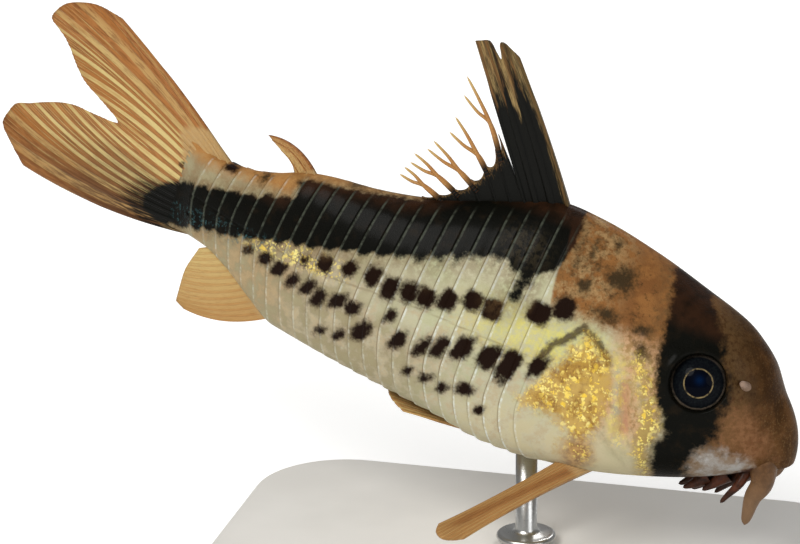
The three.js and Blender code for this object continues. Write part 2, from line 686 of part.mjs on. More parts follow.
function standRod(bodyInPlace, place) {
  const foot = BASE_HEIGHT + GAP;
  const top = BASE_HEIGHT + FISH_HEIGHT;
  const profile = [
    [0, foot],
    [ROD_FOOT_RADIUS, foot],
    [ROD_FOOT_RADIUS, foot + ROD_FOOT_HEIGHT * 0.6],
    [ROD_FOOT_RADIUS - 0.4, foot + ROD_FOOT_HEIGHT],
    [ROD_RADIUS, foot + ROD_FOOT_HEIGHT],
    [ROD_RADIUS, top],
    [0, top],
  ].map(([radius, height]) => new THREE.Vector2(radius, height));
  const rod = new THREE.LatheGeometry(profile, 16).rotateX(Math.PI / 2);
  const at = new THREE.Vector3(-ROD_STATION, 0, bellyLine(ROD_STATION)).applyMatrix4(place);
  const upright = rod.translate(at.x, at.y, 0);
  return largest(solidOf(upright).subtract(bodyInPlace));
}

// Colours and finishes.
const FINISHES = {
  skin: { color: 0xb59a6a, roughness: 0.35 },
  dark: { color: 0x1a1714, roughness: 0.4 },
  fin: { color: 0xb9793f, roughness: 0.45 },
  eye: { color: 0x0c0f14, roughness: 0.05 },
  base: { color: 0xe6e2da, roughness: 0.5 },
  steel: { color: 0xb8b8b4, roughness: 0.3, metalness: 1 },
};
const materials = Object.fromEntries(
  Object.entries(FINISHES).map(([name, finish]) => [name, new THREE.MeshStandardMaterial(finish)]),
);

function node(name, solid, material) {
  const mesh = new THREE.Mesh(geometryOf(solid), materials[material]);
  mesh.name = name;
  return mesh;
}

const fish = new THREE.Group();
fish.position.set(FISH_FORWARD, 0, BASE_HEIGHT + FISH_HEIGHT);
fish.rotation.y = PITCH;
fish.updateMatrix();

const trim = joined(swollenHull(), lips(GAP));
fish.add(
  node("head", head(), "skin"),
  node("torso", solidOf(torsoHull()), "skin"),
  node("tail_stem", solidOf(tailStemHull()), "skin"),
  node("fin_dorsal", dorsalFin(trim), "dark"),
  node("fin_adipose", adiposeFin(trim), "fin"),
  node("fin_caudal", caudalFin(trim), "fin"),
  node("fin_anal", analFin(trim), "fin"),
);
for (const [name, side] of [["right", 1], ["left", -1]]) {
  fish.add(
    node(`fin_pectoral_${name}`, pectoralFin(side, trim), "fin"),
    node(`fin_pelvic_${name}`, pelvicFin(side, trim), "fin"),
    node(`eye_${name}`, eyeball(side), "eye"),
    node(`barbel_upper_${name}`, barbel(BARBELS.upper, side, trim), "skin"),
    node(`barbel_lower_${name}`, barbel(BARBELS.lower, side, trim), "skin"),
  );
}

const bodyInPlace = solidOf(geometryOf(trim).applyMatrix4(fish.matrix));
const stand = new THREE.Group();
stand.add(
  node("stand_base", standBase(), "base"),
  node("stand_rod", standRod(bodyInPlace, fish.matrix), "steel"),
);

const model = new THREE.Group();
model.add(fish, stand);
export default model;
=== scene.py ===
"""A life-size corydoras catfish on a display stand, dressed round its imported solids.

The fish is drawn in its own straight frame, in millimetres: a station runs back from the snout tip, y to
the fish's left and z up. It is then bent at the tail, pitched head down and set over its stand, as the
solids are.
"""

import math

import bpy
import numpy as np
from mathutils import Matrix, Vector


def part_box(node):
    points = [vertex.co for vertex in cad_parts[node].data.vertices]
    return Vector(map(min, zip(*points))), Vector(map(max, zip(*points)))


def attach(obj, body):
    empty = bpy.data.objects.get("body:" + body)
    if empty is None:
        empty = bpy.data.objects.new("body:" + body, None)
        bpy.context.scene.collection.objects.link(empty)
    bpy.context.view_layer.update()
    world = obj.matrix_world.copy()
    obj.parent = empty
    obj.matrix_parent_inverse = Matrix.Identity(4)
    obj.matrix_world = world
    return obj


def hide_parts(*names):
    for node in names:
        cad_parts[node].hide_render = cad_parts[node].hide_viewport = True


bl_info = {
    "name": "Corydoras catfish",
    "version": (1, 0, 0),
    "blender": (4, 5, 0),
    "location": "View3D > Sidebar > Catfish",
    "description": "Builds a life-size armoured catfish on a plain display stand",
    "category": "Object",
}

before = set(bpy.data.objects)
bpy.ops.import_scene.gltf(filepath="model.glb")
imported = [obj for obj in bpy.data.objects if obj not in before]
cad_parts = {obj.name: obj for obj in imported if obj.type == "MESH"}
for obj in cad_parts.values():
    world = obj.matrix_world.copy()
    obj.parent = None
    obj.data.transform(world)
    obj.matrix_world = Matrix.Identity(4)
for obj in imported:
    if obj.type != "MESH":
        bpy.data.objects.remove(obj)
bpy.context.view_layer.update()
MM = 0.001
BODY = "root"

# The pose: the tail bends to the left behind BEND_START, and the fish is pitched head down.
PITCH = math.radians(16.7)
BEND_START = 26.0
BEND_RADIUS = 75.0
FISH_FORWARD = 20.0
FISH_HEIGHT = 12.9
TAIL_ROOT = 48.6
TAIL_FLESH = 1.9

# The camera, and the flank as it shows there: u runs along the fish and w across it, in millimetres.
# The markings are laid out in this view and carried straight onto both flanks.
AZIMUTH = math.radians(15)
ELEVATION = math.radians(20)
LENS = 400.0
SENSOR = 36.0
CAMERA_DISTANCE = 648.9
CAMERA_TARGET = (-31.85, 0.0, 1.155)
FLANK_CENTRE = (-31.5, 1.06)
FLANK_ROLL = math.atan2(0.3584, 0.9336)

# Scutes, in two rows on each flank.
FIRST_SCUTE = 18.6
SCUTE_PITCH = 1.25
SCUTE_COUNT = 24
UPPER_SLANT = 0.9
LOWER_SLANT = 2.0
FULL_DEPTH = 18.0

# Sizes of the head.
SNOUT_HEIGHT = -1.6
SNOUT_ROUNDING = 6.0
SNOUT_SIDE_ROUNDING = 5.0
EYE_STATION = 8.0
EYE_HEIGHT = 3.4
EYE_INSET = 1.05
EYE_TILT = math.radians(19)
EYE_TURN = math.radians(9)
EYE_DEPTH = 1.5
EYE_BACK = 0.95
EYE_WRAP = 0.72
EYE_RINGS = 48
EYE_STEPS = 72


def smooth_line(pairs):
    """A curve through (station, value) pairs that never overshoots them."""
    at = np.array([pair[0] for pair in pairs], float)
    value = np.array([pair[1] for pair in pairs], float)
    width = np.diff(at)
    slope = np.diff(value) / width
    tangent = np.zeros(len(at))
    tangent[0] = slope[0]
    tangent[-1] = slope[-1]
    for i in range(1, len(at) - 1):
        if slope[i - 1] * slope[i] > 0:
            a = 2 * width[i] + width[i - 1]
            b = width[i] + 2 * width[i - 1]
            tangent[i] = (a + b) / (a / slope[i - 1] + b / slope[i])

    def line(x):
        x = np.clip(np.asarray(x, float), at[0], at[-1])
        i = np.clip(np.searchsorted(at, x, side="right") - 1, 0, len(at) - 2)
        t = (x - at[i]) / width[i]
        return (
            (2 * t**3 - 3 * t**2 + 1) * value[i]
            + (t**3 - 2 * t**2 + t) * width[i] * tangent[i]
            + (3 * t**2 - 2 * t**3) * value[i + 1]
            + (t**3 - t**2) * width[i] * tangent[i + 1]
        )

    return line


BACK = smooth_line([
    (0, 4.1), (2, 4.4), (3.6, 5.7), (5, 6.4), (6.6, 7.25), (9.7, 8.3), (14.2, 9.8), (18.8, 10.8),
    (21.2, 11), (26, 9.5), (31.5, 7.4), (35.6, 6.4), (38.8, 5.9), (41, 5.3), (43.2, 4.25), (45.5, 3.5),
    (48.5, 3.2),
])
BELLY = smooth_line([
    (0, -3), (1.8, -3.2), (4.7, -4.2), (7.6, -5.3), (11.5, -6.3), (15.5, -7), (19.6, -7.4), (22, -7.45),
    (25.7, -7.05), (31.7, -6.9), (36, -6.9), (39.6, -6.8), (42.3, -5.6), (44.5, -4.4), (46.8, -3.6),
    (48.5, -3.45),
])
HALF_WIDTH = smooth_line([
    (0, 3), (2, 3.3), (4, 3.8), (6, 4.4), (8, 4.9), (10, 5.4), (12, 5.9), (15, 6.3), (20, 6.2),
    (24, 5.7), (28, 5), (32, 4.2), (36, 3.3), (40, 2.45), (44, 1.75), (48.5, 1.15),
])
WIDEST = smooth_line([
    (0, -1.6), (4, -0.9), (8, -0.8), (12, -1.8), (16, -2.6), (22, -2.6), (28, -1.8), (34, -1), (48.5, 0),
])
SEAM = smooth_line([(0, 0.4), (12, 0.6), (20, 1.2), (28, 1.1), (39, -0.2), (48.5, 0)])
BACK_FULLNESS = smooth_line([(0, 2), (8, 2.1), (14, 1.8), (20, 1.7), (30, 1.8), (48.5, 2.1)])
BELLY_FULLNESS = smooth_line([(0, 2), (4, 2.3), (10, 3), (20, 3.4), (34, 2.8), (40, 2.2), (48.5, 2.1)])


def rounding(station, length):
    left = np.clip(1 - np.asarray(station, float) / length, 0, 1)
    return np.sqrt(np.clip(1 - left * left, 0, 1))


def section(station):
    """The oval across the body at each station: its top, foot, widest height, half width and fullness."""
    opened = rounding(station, SNOUT_ROUNDING)

    def from_snout(height):
        return SNOUT_HEIGHT + (height - SNOUT_HEIGHT) * opened

    return (
        from_snout(BACK(station)),
        from_snout(BELLY(station)),
        from_snout(WIDEST(station)),
        HALF_WIDTH(station) * rounding(station, SNOUT_SIDE_ROUNDING),
        2 / BACK_FULLNESS(station),
        2 / BELLY_FULLNESS(station),
    )


def hull_point(station, turn, lift=0.0):
    """Points of the straight hull. A turn runs from the back down the right flank, under the belly and up."""
    back, belly, widest, half, back_power, belly_power = section(station)
    across = np.sin(turn)
    up = np.cos(turn)
    power = np.where(up >= 0, back_power, belly_power)
    height = np.where(up >= 0, back - widest, widest - belly)
    y = -half * np.sign(across) * np.abs(across) ** power
    z = widest + height * np.sign(up) * np.abs(up) ** power
    normal_y = -np.sign(across) * np.abs(across) ** (2 - power) / np.maximum(half, 0.05)
    normal_z = np.sign(up) * np.abs(up) ** (2 - power) / np.maximum(height, 0.05)
    long = np.maximum(np.hypot(normal_y, normal_z), 1e-9)
    x = -np.asarray(station, float) + 0 * turn
    return np.stack([x, y + lift * normal_y / long, z + lift * normal_z / long], axis=-1)


def flank_turn(station, height):
    """The turn at which the right flank has a height."""
    back, belly, widest, _, back_power, belly_power = section(station)
    if height >= widest:
        return math.acos(((height - widest) / (back - widest)) ** (1 / back_power))
    return math.pi - math.acos(((widest - height) / (widest - belly)) ** (1 / belly_power))


def bend(points):
    """Wraps the straight fish behind BEND_START round an arc to the left."""
    points = np.asarray(points, float)
    past = np.maximum(-points[..., 0] - BEND_START, 0)
    angle = past / BEND_RADIUS
    reach = BEND_RADIUS - points[..., 1]
    x = np.where(past > 0, -BEND_START - reach * np.sin(angle), points[..., 0])
    y = np.where(past > 0, BEND_RADIUS - reach * np.cos(angle), points[..., 1])
    return np.stack([x, y, points[..., 2]], axis=-1)


def placed(points):
    """Straight fish millimetres to metres in the shared frame."""
    x, y, z = np.moveaxis(bend(points), -1, 0)
    world_x = x * math.cos(PITCH) + z * math.sin(PITCH) + FISH_FORWARD
    world_z = z * math.cos(PITCH) - x * math.sin(PITCH) + FISH_HEIGHT
    return np.stack([world_x, y, world_z], axis=-1) * MM


def camera_axes():
    back = np.array([
        math.sin(AZIMUTH) * math.cos(ELEVATION),
        -math.cos(AZIMUTH) * math.cos(ELEVATION),
        math.sin(ELEVATION),
    ])
    right = np.array([math.cos(AZIMUTH), math.sin(AZIMUTH), 0])
    return back, right, np.cross(back, right)


def flank_view(points):
    """Where straight points lie on the flank, both flanks alike: u along the fish, w across it."""
    points = np.array(points, float)
    points[..., 1] = -np.abs(points[..., 1])
    back, right, up = camera_axes()
    away = placed(points) / MM - placed(CAMERA_TARGET) / MM
    scale = CAMERA_DISTANCE / (CAMERA_DISTANCE - away @ back)
    across = away @ right * scale
    rise = away @ up * scale
    u = across * math.cos(FLANK_ROLL) - rise * math.sin(FLANK_ROLL) + FLANK_CENTRE[0]
    w = across * math.sin(FLANK_ROLL) + rise * math.cos(FLANK_ROLL) + FLANK_CENTRE[1]
    return u, w


def smooth_step(low, high, value):
    t = np.clip((value - low) / (high - low), 0, 1)
    return t * t * (3 - 2 * t)


def outline_distance(u, w, corners):
    """Distance in millimetres to a closed outline on the flank, negative inside."""
    corners = np.array(corners, float)
    best = np.full(u.shape, 1e9)
    inside = np.zeros(u.shape, bool)
    for a, b in zip(corners, np.roll(corners, -1, axis=0)):
        edge = b - a
        t = np.clip(((u - a[0]) * edge[0] + (w - a[1]) * edge[1]) / (edge @ edge), 0, 1)
        best = np.minimum(best, np.hypot(u - a[0] - t * edge[0], w - a[1] - t * edge[1]))
        if a[1] != b[1]:
            crosses = (a[1] > w) != (b[1] > w)
            inside ^= crosses & (u < a[0] + (w - a[1]) * edge[0] / edge[1])
    return np.where(inside, -best, best)


def path_distance(u, w, corners):
    """Distance in millimetres to an open line on the flank."""
    corners = np.array(corners, float)
    best = np.full(u.shape, 1e9)
    for a, b in zip(corners[:-1], corners[1:]):
        edge = b - a
        t = np.clip(((u - a[0]) * edge[0] + (w - a[1]) * edge[1]) / (edge @ edge), 0, 1)
        best = np.minimum(best, np.hypot(u - a[0] - t * edge[0], w - a[1] - t * edge[1]))
    return best


def spot_distance(u, w, spots, lean=0.0):
    """Distance to the nearest of rounded, squarish spots (u, w, half width, half height)."""
    best = np.full(u.shape, 1e9)
    for centre_u, centre_w, half_u, half_w in spots:
        du = (u - centre_u - lean * (w - centre_w)) / half_u
        dw = (w - centre_w) / half_w
        reach = (np.abs(du) ** 2.6 + np.abs(dw) ** 2.6) ** (1 / 2.6)
        best = np.minimum(best, (reach - 1) * min(half_u, half_w))
    return best


# The markings on the flank, in u and w: outlines, lines, and spots as (u, w, half width, half height).
EYE_BAR = [
    (-12.9, 8.8), (-12.4, 6.8), (-12.2, 5.5), (-12, 4), (-11.65, 1.9), (-11.15, 0.3), (-10.9, -0.6),
    (-10, -1.6), (-9.3, -2.9), (-9.8, -4.2), (-9.5, -5.4), (-8.9, -6.6), (-7.6, -6.5), (-6.7, -5.4),
    (-7, -4.4), (-6.6, -3.4), (-5.9, -2.7), (-5.6, -1.8), (-5.9, -0.6), (-5.8, 1), (-6.3, 2.6),
    (-7.2, 3.7), (-7.7, 5), (-8.5, 6), (-9.3, 7.2), (-9.7, 8.6),
]
FLANK_STRIPE = [
    (-20.3, 10.5), (-20.2, 8.2), (-20.4, 6.4), (-20.9, 5.2), (-21.9, 4.7), (-22.2, 3.4), (-22.5, 2.2),
    (-23.4, 2.2), (-23.5, 3.9), (-24.6, 4.7), (-25.7, 4.4), (-27, 3.9), (-28.5, 3.1), (-30, 2.5),
    (-32, 1.9), (-34, 1.4), (-36, 0.9), (-38, 0.35), (-40, 0), (-42, -0.6), (-44, -1), (-46, -1.25),
    (-48, -1.7), (-49.5, -1.7), (-50.7, -1.2), (-50.9, -0.4), (-50.2, 0.5), (-48.8, 1.3), (-47.5, 1.8),
    (-46, 2.1), (-44, 2.5), (-42, 3.05), (-40.7, 3.4), (-40.7, 4.7), (-39.6, 5), (-38, 5.2), (-36, 5.6),
    (-34, 6.1), (-32, 6.5), (-31.2, 7.4), (-31, 9.5), (-26, 11.5),
]
UPPER_SPOTS = [
    (-19.3, 2.9, 0.75, 0.9), (-20.9, 1.9, 0.8, 0.85), (-24.2, 0.95, 0.72, 0.8), (-25.8, 1, 0.75, 0.75),
    (-27.5, 0.35, 0.68, 0.75), (-29, 0, 0.65, 0.75), (-30.3, -0.1, 0.55, 0.75), (-31.8, -0.3, 0.6, 0.8),
    (-33.2, 0.1, 0.5, 0.75), (-35, 0, 0.5, 0.6), (-36.8, -0.3, 0.55, 0.6), (-38.3, -0.6, 0.35, 0.4),
]
LOWER_SPOTS = [
    (-19.6, -1.8, 0.55, 0.85), (-21.7, -2.5, 0.7, 1.25), (-23.2, -2.4, 0.7, 1), (-25.2, -2.5, 0.65, 0.95),
    (-26.8, -3, 0.5, 0.8), (-28, -3.4, 0.42, 0.7), (-29.9, -3.6, 0.52, 0.7), (-32.6, -3.9, 0.6, 0.75),
    (-33.7, -2.6, 0.5, 0.5), (-35, -2.5, 0.5, 0.6), (-36.4, -2.9, 0.5, 0.65), (-37.4, -2.4, 0.45, 0.55),
    (-38.6, -2.3, 0.45, 0.5), (-39.8, -1.9, 0.45, 0.5), (-41, -1.5, 0.42, 0.5), (-31, -2.2, 0.35, 0.45),
    (-42.4, -1.4, 0.3, 0.3),
]
SMALL_SPOTS = [
    (-22.5, -6.2, 0.35, 0.35), (-24, -5.2, 0.55, 0.4), (-25.6, -5.7, 0.38, 0.35), (-27, -5.5, 0.4, 0.35),
    (-28.4, -5.4, 0.3, 0.3), (-34, -4.8, 0.32, 0.4), (-35.4, -5, 0.28, 0.28), (-45.7, 3.8, 0.4, 0.35),
]
SMUDGES = [
    (-16.3, 6.3, 1.2, 0.95), (-18.6, 4.9, 0.55, 0.45), (-16.1, 3.5, 0.9, 0.5), (-13.6, 3.6, 0.6, 0.45),
    (-19.8, 7.2, 0.3, 1.1), (-18.9, 7.5, 0.25, 1), (-18.1, 7.3, 0.2, 0.8), (-17.4, 8.4, 0.3, 0.3),
    (-12.9, 2.1, 0.45, 0.5), (-36.7, 5.8, 0.5, 0.35), (-43.2, 4.2, 0.3, 0.4),
]
GOLD_PATCH = [
    (-16.8, 1.6), (-15.7, 0.9), (-14.8, 0.5), (-14.2, -0.6), (-14, -2.2), (-14, -4), (-14.3, -5.4),
    (-15.3, -5.8), (-16.6, -5.1), (-17.9, -4.6), (-19.8, -4.9), (-20, -4.2), (-19.2, -3), (-18.9, -1.9),
    (-18.2, -0.8), (-17.6, 0.4),
]
PECTORAL_PATCH = (-14.9, -6.5, 0.8, 0.5)
OPERCLE_GOLD = [
    (-13.5, 1.5), (-12.6, 1.6), (-11.9, 0.4), (-11.2, -0.5), (-10.7, -1.2), (-10, -2.1), (-9.6, -3),
    (-10, -4.2), (-9.7, -5.5), (-9.2, -6.3), (-10, -6.4), (-10.8, -5.2), (-11.1, -3.6), (-11.4, -2),
    (-12.2, -0.5),
]
SHOULDER_EDGE = [(-14.2, 0.5), (-13.7, -0.8), (-13.3, -2), (-12.9, -3.5), (-12.1, -4.8), (-10.9, -6.3)]
SHOULDER_ARCH = [
    (-14.9, 0.3), (-15.5, 0.9), (-16.5, 1.65), (-17.5, 2.05), (-18.3, 1), (-19.2, 0.1), (-19.7, -1),
]
GILL_SLIT = [(-13.2, -0.9), (-12.8, -1.9), (-12.4, -3), (-12.1, -3.9)]
# The line under the lip, along which shade is painted in the mouth's gap.
MOUTH_LINE = [(-2.3, -3.3), (-3.3, -4.05), (-4.3, -4.75), (-5.6, -5.25), (-6.8, -5.6)]
CHEEK = [
    (-5.2, 0.7), (-3.6, 0.4), (-2.1, -0.9), (-1.5, -1.9), (-2.4, -2.8), (-4.2, -2.8), (-6.1, -2.8),
    (-6.2, -1.3),
]
LIP = [
    (-7.2, -3.2), (-6.6, -2.5), (-5.6, -3), (-4.2, -2.85), (-2.4, -2.7), (-2, -4.2), (-4.4, -5.6),
    (-7, -6.5), (-7.6, -5.6), (-6.9, -4.4),
]


def slant(station, turn):
    """How far forward a scute's border has run from the row seam."""
    back, belly = section(station)[:2]
    up = np.cos(turn)
    depth = (back - belly) / FULL_DEPTH
    return depth * np.where(up > 0, UPPER_SLANT * np.abs(up) ** 1.5, -LOWER_SLANT * up)


class Paint:
    """Adds nodes to a node tree, one short call each."""

    def __init__(self, tree):
        self.tree = tree

    def add(self, kind, **settings):
        made = self.tree.nodes.new(kind)
        for name, value in settings.items():
            setattr(made, name, value)
        return made

    def feed(self, socket, value):
        if isinstance(value, bpy.types.NodeSocket):
            self.tree.links.new(value, socket)
        elif value is not None:
            socket.default_value = value

    def attribute(self, name):
        return self.add("ShaderNodeAttribute", attribute_name=name).outputs["Fac"]

    def coordinates(self):
        return self.add("ShaderNodeTexCoord").outputs["Object"]

    def math(self, operation, a, b=None):
        made = self.add("ShaderNodeMath", operation=operation)
        self.feed(made.inputs[0], a)
        self.feed(made.inputs[1], b)
        return made.outputs[0]

    def times(self, *values):
        product = values[0]
        for value in values[1:]:
            product = self.math("MULTIPLY", product, value)
        return product

    def plus(self, a, b):
        return self.math("ADD", a, b)

    def minus(self, a, b):
        return self.math("SUBTRACT", a, b)

    def greater(self, a, b):
        return self.math("MAXIMUM", a, b)

    def step(self, value, low, high, start=0.0, end=1.0):
        made = self.add("ShaderNodeMapRange", interpolation_type="SMOOTHSTEP")
        for socket, number in zip(made.inputs[:5], (value, low, high, start, end)):
            self.feed(socket, number)
        return made.outputs[0]

    def mix(self, mask, a, b):
        made = self.add("ShaderNodeMix", data_type="RGBA", clamp_factor=True)
        self.feed(made.inputs["Factor"], mask)
        self.feed(made.inputs[6], a)
        self.feed(made.inputs[7], b)
        return made.outputs[2]

    def noise(self, scale, detail, rough, vector=None):
        made = self.add("ShaderNodeTexNoise")
        self.feed(made.inputs["Vector"], vector or self.coordinates())
        self.feed(made.inputs["Scale"], scale / MM)
        self.feed(made.inputs["Detail"], detail)
        self.feed(made.inputs["Roughness"], rough)
        return made.outputs["Fac"]

    def cells(self, scale, vector):
        made = self.add("ShaderNodeTexVoronoi")
        self.feed(made.inputs["Vector"], vector)
        self.feed(made.inputs["Scale"], scale / MM)
        return made

    def group(self, tree, **values):
        made = self.add("ShaderNodeGroup", node_tree=tree)
        for name, value in values.items():
            self.feed(made.inputs[name], value)
        return made.outputs


def colour(value):
    """A colour property as the four numbers that a socket takes."""
    return (*value[:3], 1.0)


def new_group(name, inputs, outputs):
    """An empty shader node group with float sockets."""
    tree = bpy.data.node_groups.new(name, "ShaderNodeTree")
    for direction, sockets in (("INPUT", inputs), ("OUTPUT", outputs)):
        for socket_name, default in sockets:
            socket = tree.interface.new_socket(
                name=socket_name, in_out=direction, socket_type="NodeSocketFloat"
            )
            if direction == "INPUT":
                socket.default_value = default
    paint = Paint(tree)
    start = paint.add("NodeGroupInput")
    end = paint.add("NodeGroupOutput")
    return tree, paint, start.outputs, end.inputs


def ragged_group():
    """Turns a distance to an outline into a mask whose edge wanders and breaks up a little."""
    tree, paint, given, out = new_group(
        "Ragged edge", [("Distance", 0.0), ("Wander", 0.25), ("Softness", 0.12)], [("Mask", 0.0)]
    )
    coarse = paint.noise(1.1, 4, 0.6)
    fine = paint.noise(5.0, 2, 0.5)
    shift = paint.plus(paint.minus(coarse, 0.5), paint.times(fine, 0.3))
    shifted = paint.times(paint.minus(shift, 0.15), given["Wander"])
    moved = paint.plus(given["Distance"], paint.times(shifted, 2.0))
    edge = paint.math("DIVIDE", moved, given["Softness"])
    paint.feed(out["Mask"], paint.step(edge, 1.0, -1.0))
    return tree


def grain_group():
    """Wet skin's fine relief: a height for the bump, and a number that varies its gloss."""
    tree, paint, given, out = new_group(
        "Wet grain", [("Scale", 1.0), ("Coarse", 0.5)], [("Height", 0.0), ("Gloss", 0.0)]
    )
    stretched = paint.add("ShaderNodeVectorMath", operation="SCALE")
    paint.feed(stretched.inputs[0], paint.coordinates())
    paint.feed(stretched.inputs["Scale"], given["Scale"])
    fine = paint.noise(9.0, 3, 0.6, stretched.outputs[0])
    broad = paint.noise(2.2, 3, 0.5, stretched.outputs[0])
    pits = paint.cells(7.0, stretched.outputs[0]).outputs["Distance"]
    mixed = paint.plus(paint.times(broad, given["Coarse"]), fine)
    paint.feed(out["Height"], paint.plus(mixed, paint.times(pits, 0.35)))
    paint.feed(out["Gloss"], paint.plus(paint.times(broad, 0.6), 0.2))
    return tree


def flake_group():
    """Guanine flakes: small crooked cells of which some shine, as a mask and a brightness."""
    tree, paint, given, out = new_group(
        "Shining flakes", [("Scale", 1.0), ("Share", 0.4)], [("Mask", 0.0), ("Brightness", 0.0)]
    )
    warp = paint.add("ShaderNodeTexNoise")
    paint.feed(warp.inputs["Vector"], paint.coordinates())
    paint.feed(warp.inputs["Scale"], 2.6 / MM)
    pushed = paint.add("ShaderNodeVectorMath", operation="MULTIPLY_ADD")
    paint.feed(pushed.inputs[0], warp.outputs["Color"])
    pushed.inputs[1].default_value = (0.5 * MM, 0.5 * MM, 0.5 * MM)
    paint.feed(pushed.inputs[2], paint.coordinates())
    stretched = paint.add("ShaderNodeVectorMath", operation="SCALE")
    paint.feed(stretched.inputs[0], pushed.outputs[0])
    paint.feed(stretched.inputs["Scale"], given["Scale"])
    clumps = paint.noise(0.8, 3, 0.6, stretched.outputs[0])
    lean = paint.times(paint.minus(clumps, 0.5), 2.6)
    limit = paint.minus(1.0, given["Share"])
    masks = []
    for density, low, high in ((2.5, 0.62, 0.3), (5.2, 0.7, 0.35)):
        cells = paint.cells(density, stretched.outputs[0])
        pick = paint.add("ShaderNodeSeparateColor")
        paint.feed(pick.inputs[0], cells.outputs["Color"])
        wanted = paint.plus(pick.outputs[0], lean)
        shows = paint.step(paint.minus(wanted, limit), -0.05, 0.15)
        masks.append(paint.times(shows, paint.step(cells.outputs["Distance"], low, high)))
        if len(masks) == 1:
            paint.feed(out["Brightness"], pick.outputs[1])
    paint.feed(out["Mask"], paint.greater(*masks))
    return tree


def group_named(name, make):
    return bpy.data.node_groups.get(name) or make()


def new_material(name, **plain):
    """A material whose principled shader has some sockets set to plain numbers."""
    material = bpy.data.materials.new(name)
    material.use_nodes = True
    paint = Paint(material.node_tree)
    shader = material.node_tree.nodes["Principled BSDF"]
    for socket, value in plain.items():
        shader.inputs[socket.replace("_", " ")].default_value = value
    return material, paint, shader


def bump(paint, shader, height, distance, strength=1.0):
    made = paint.add("ShaderNodeBump")
    made.inputs["Distance"].default_value = distance * MM
    made.inputs["Strength"].default_value = strength
    paint.feed(made.inputs["Height"], height)
    paint.feed(shader.inputs["Normal"], made.outputs[0])


def roughen(paint, shader, value, swing, least):
    """Varies a shader's roughness with a value, from its least roughness up."""
    paint.feed(shader.inputs["Roughness"], paint.plus(paint.times(value, swing), least))


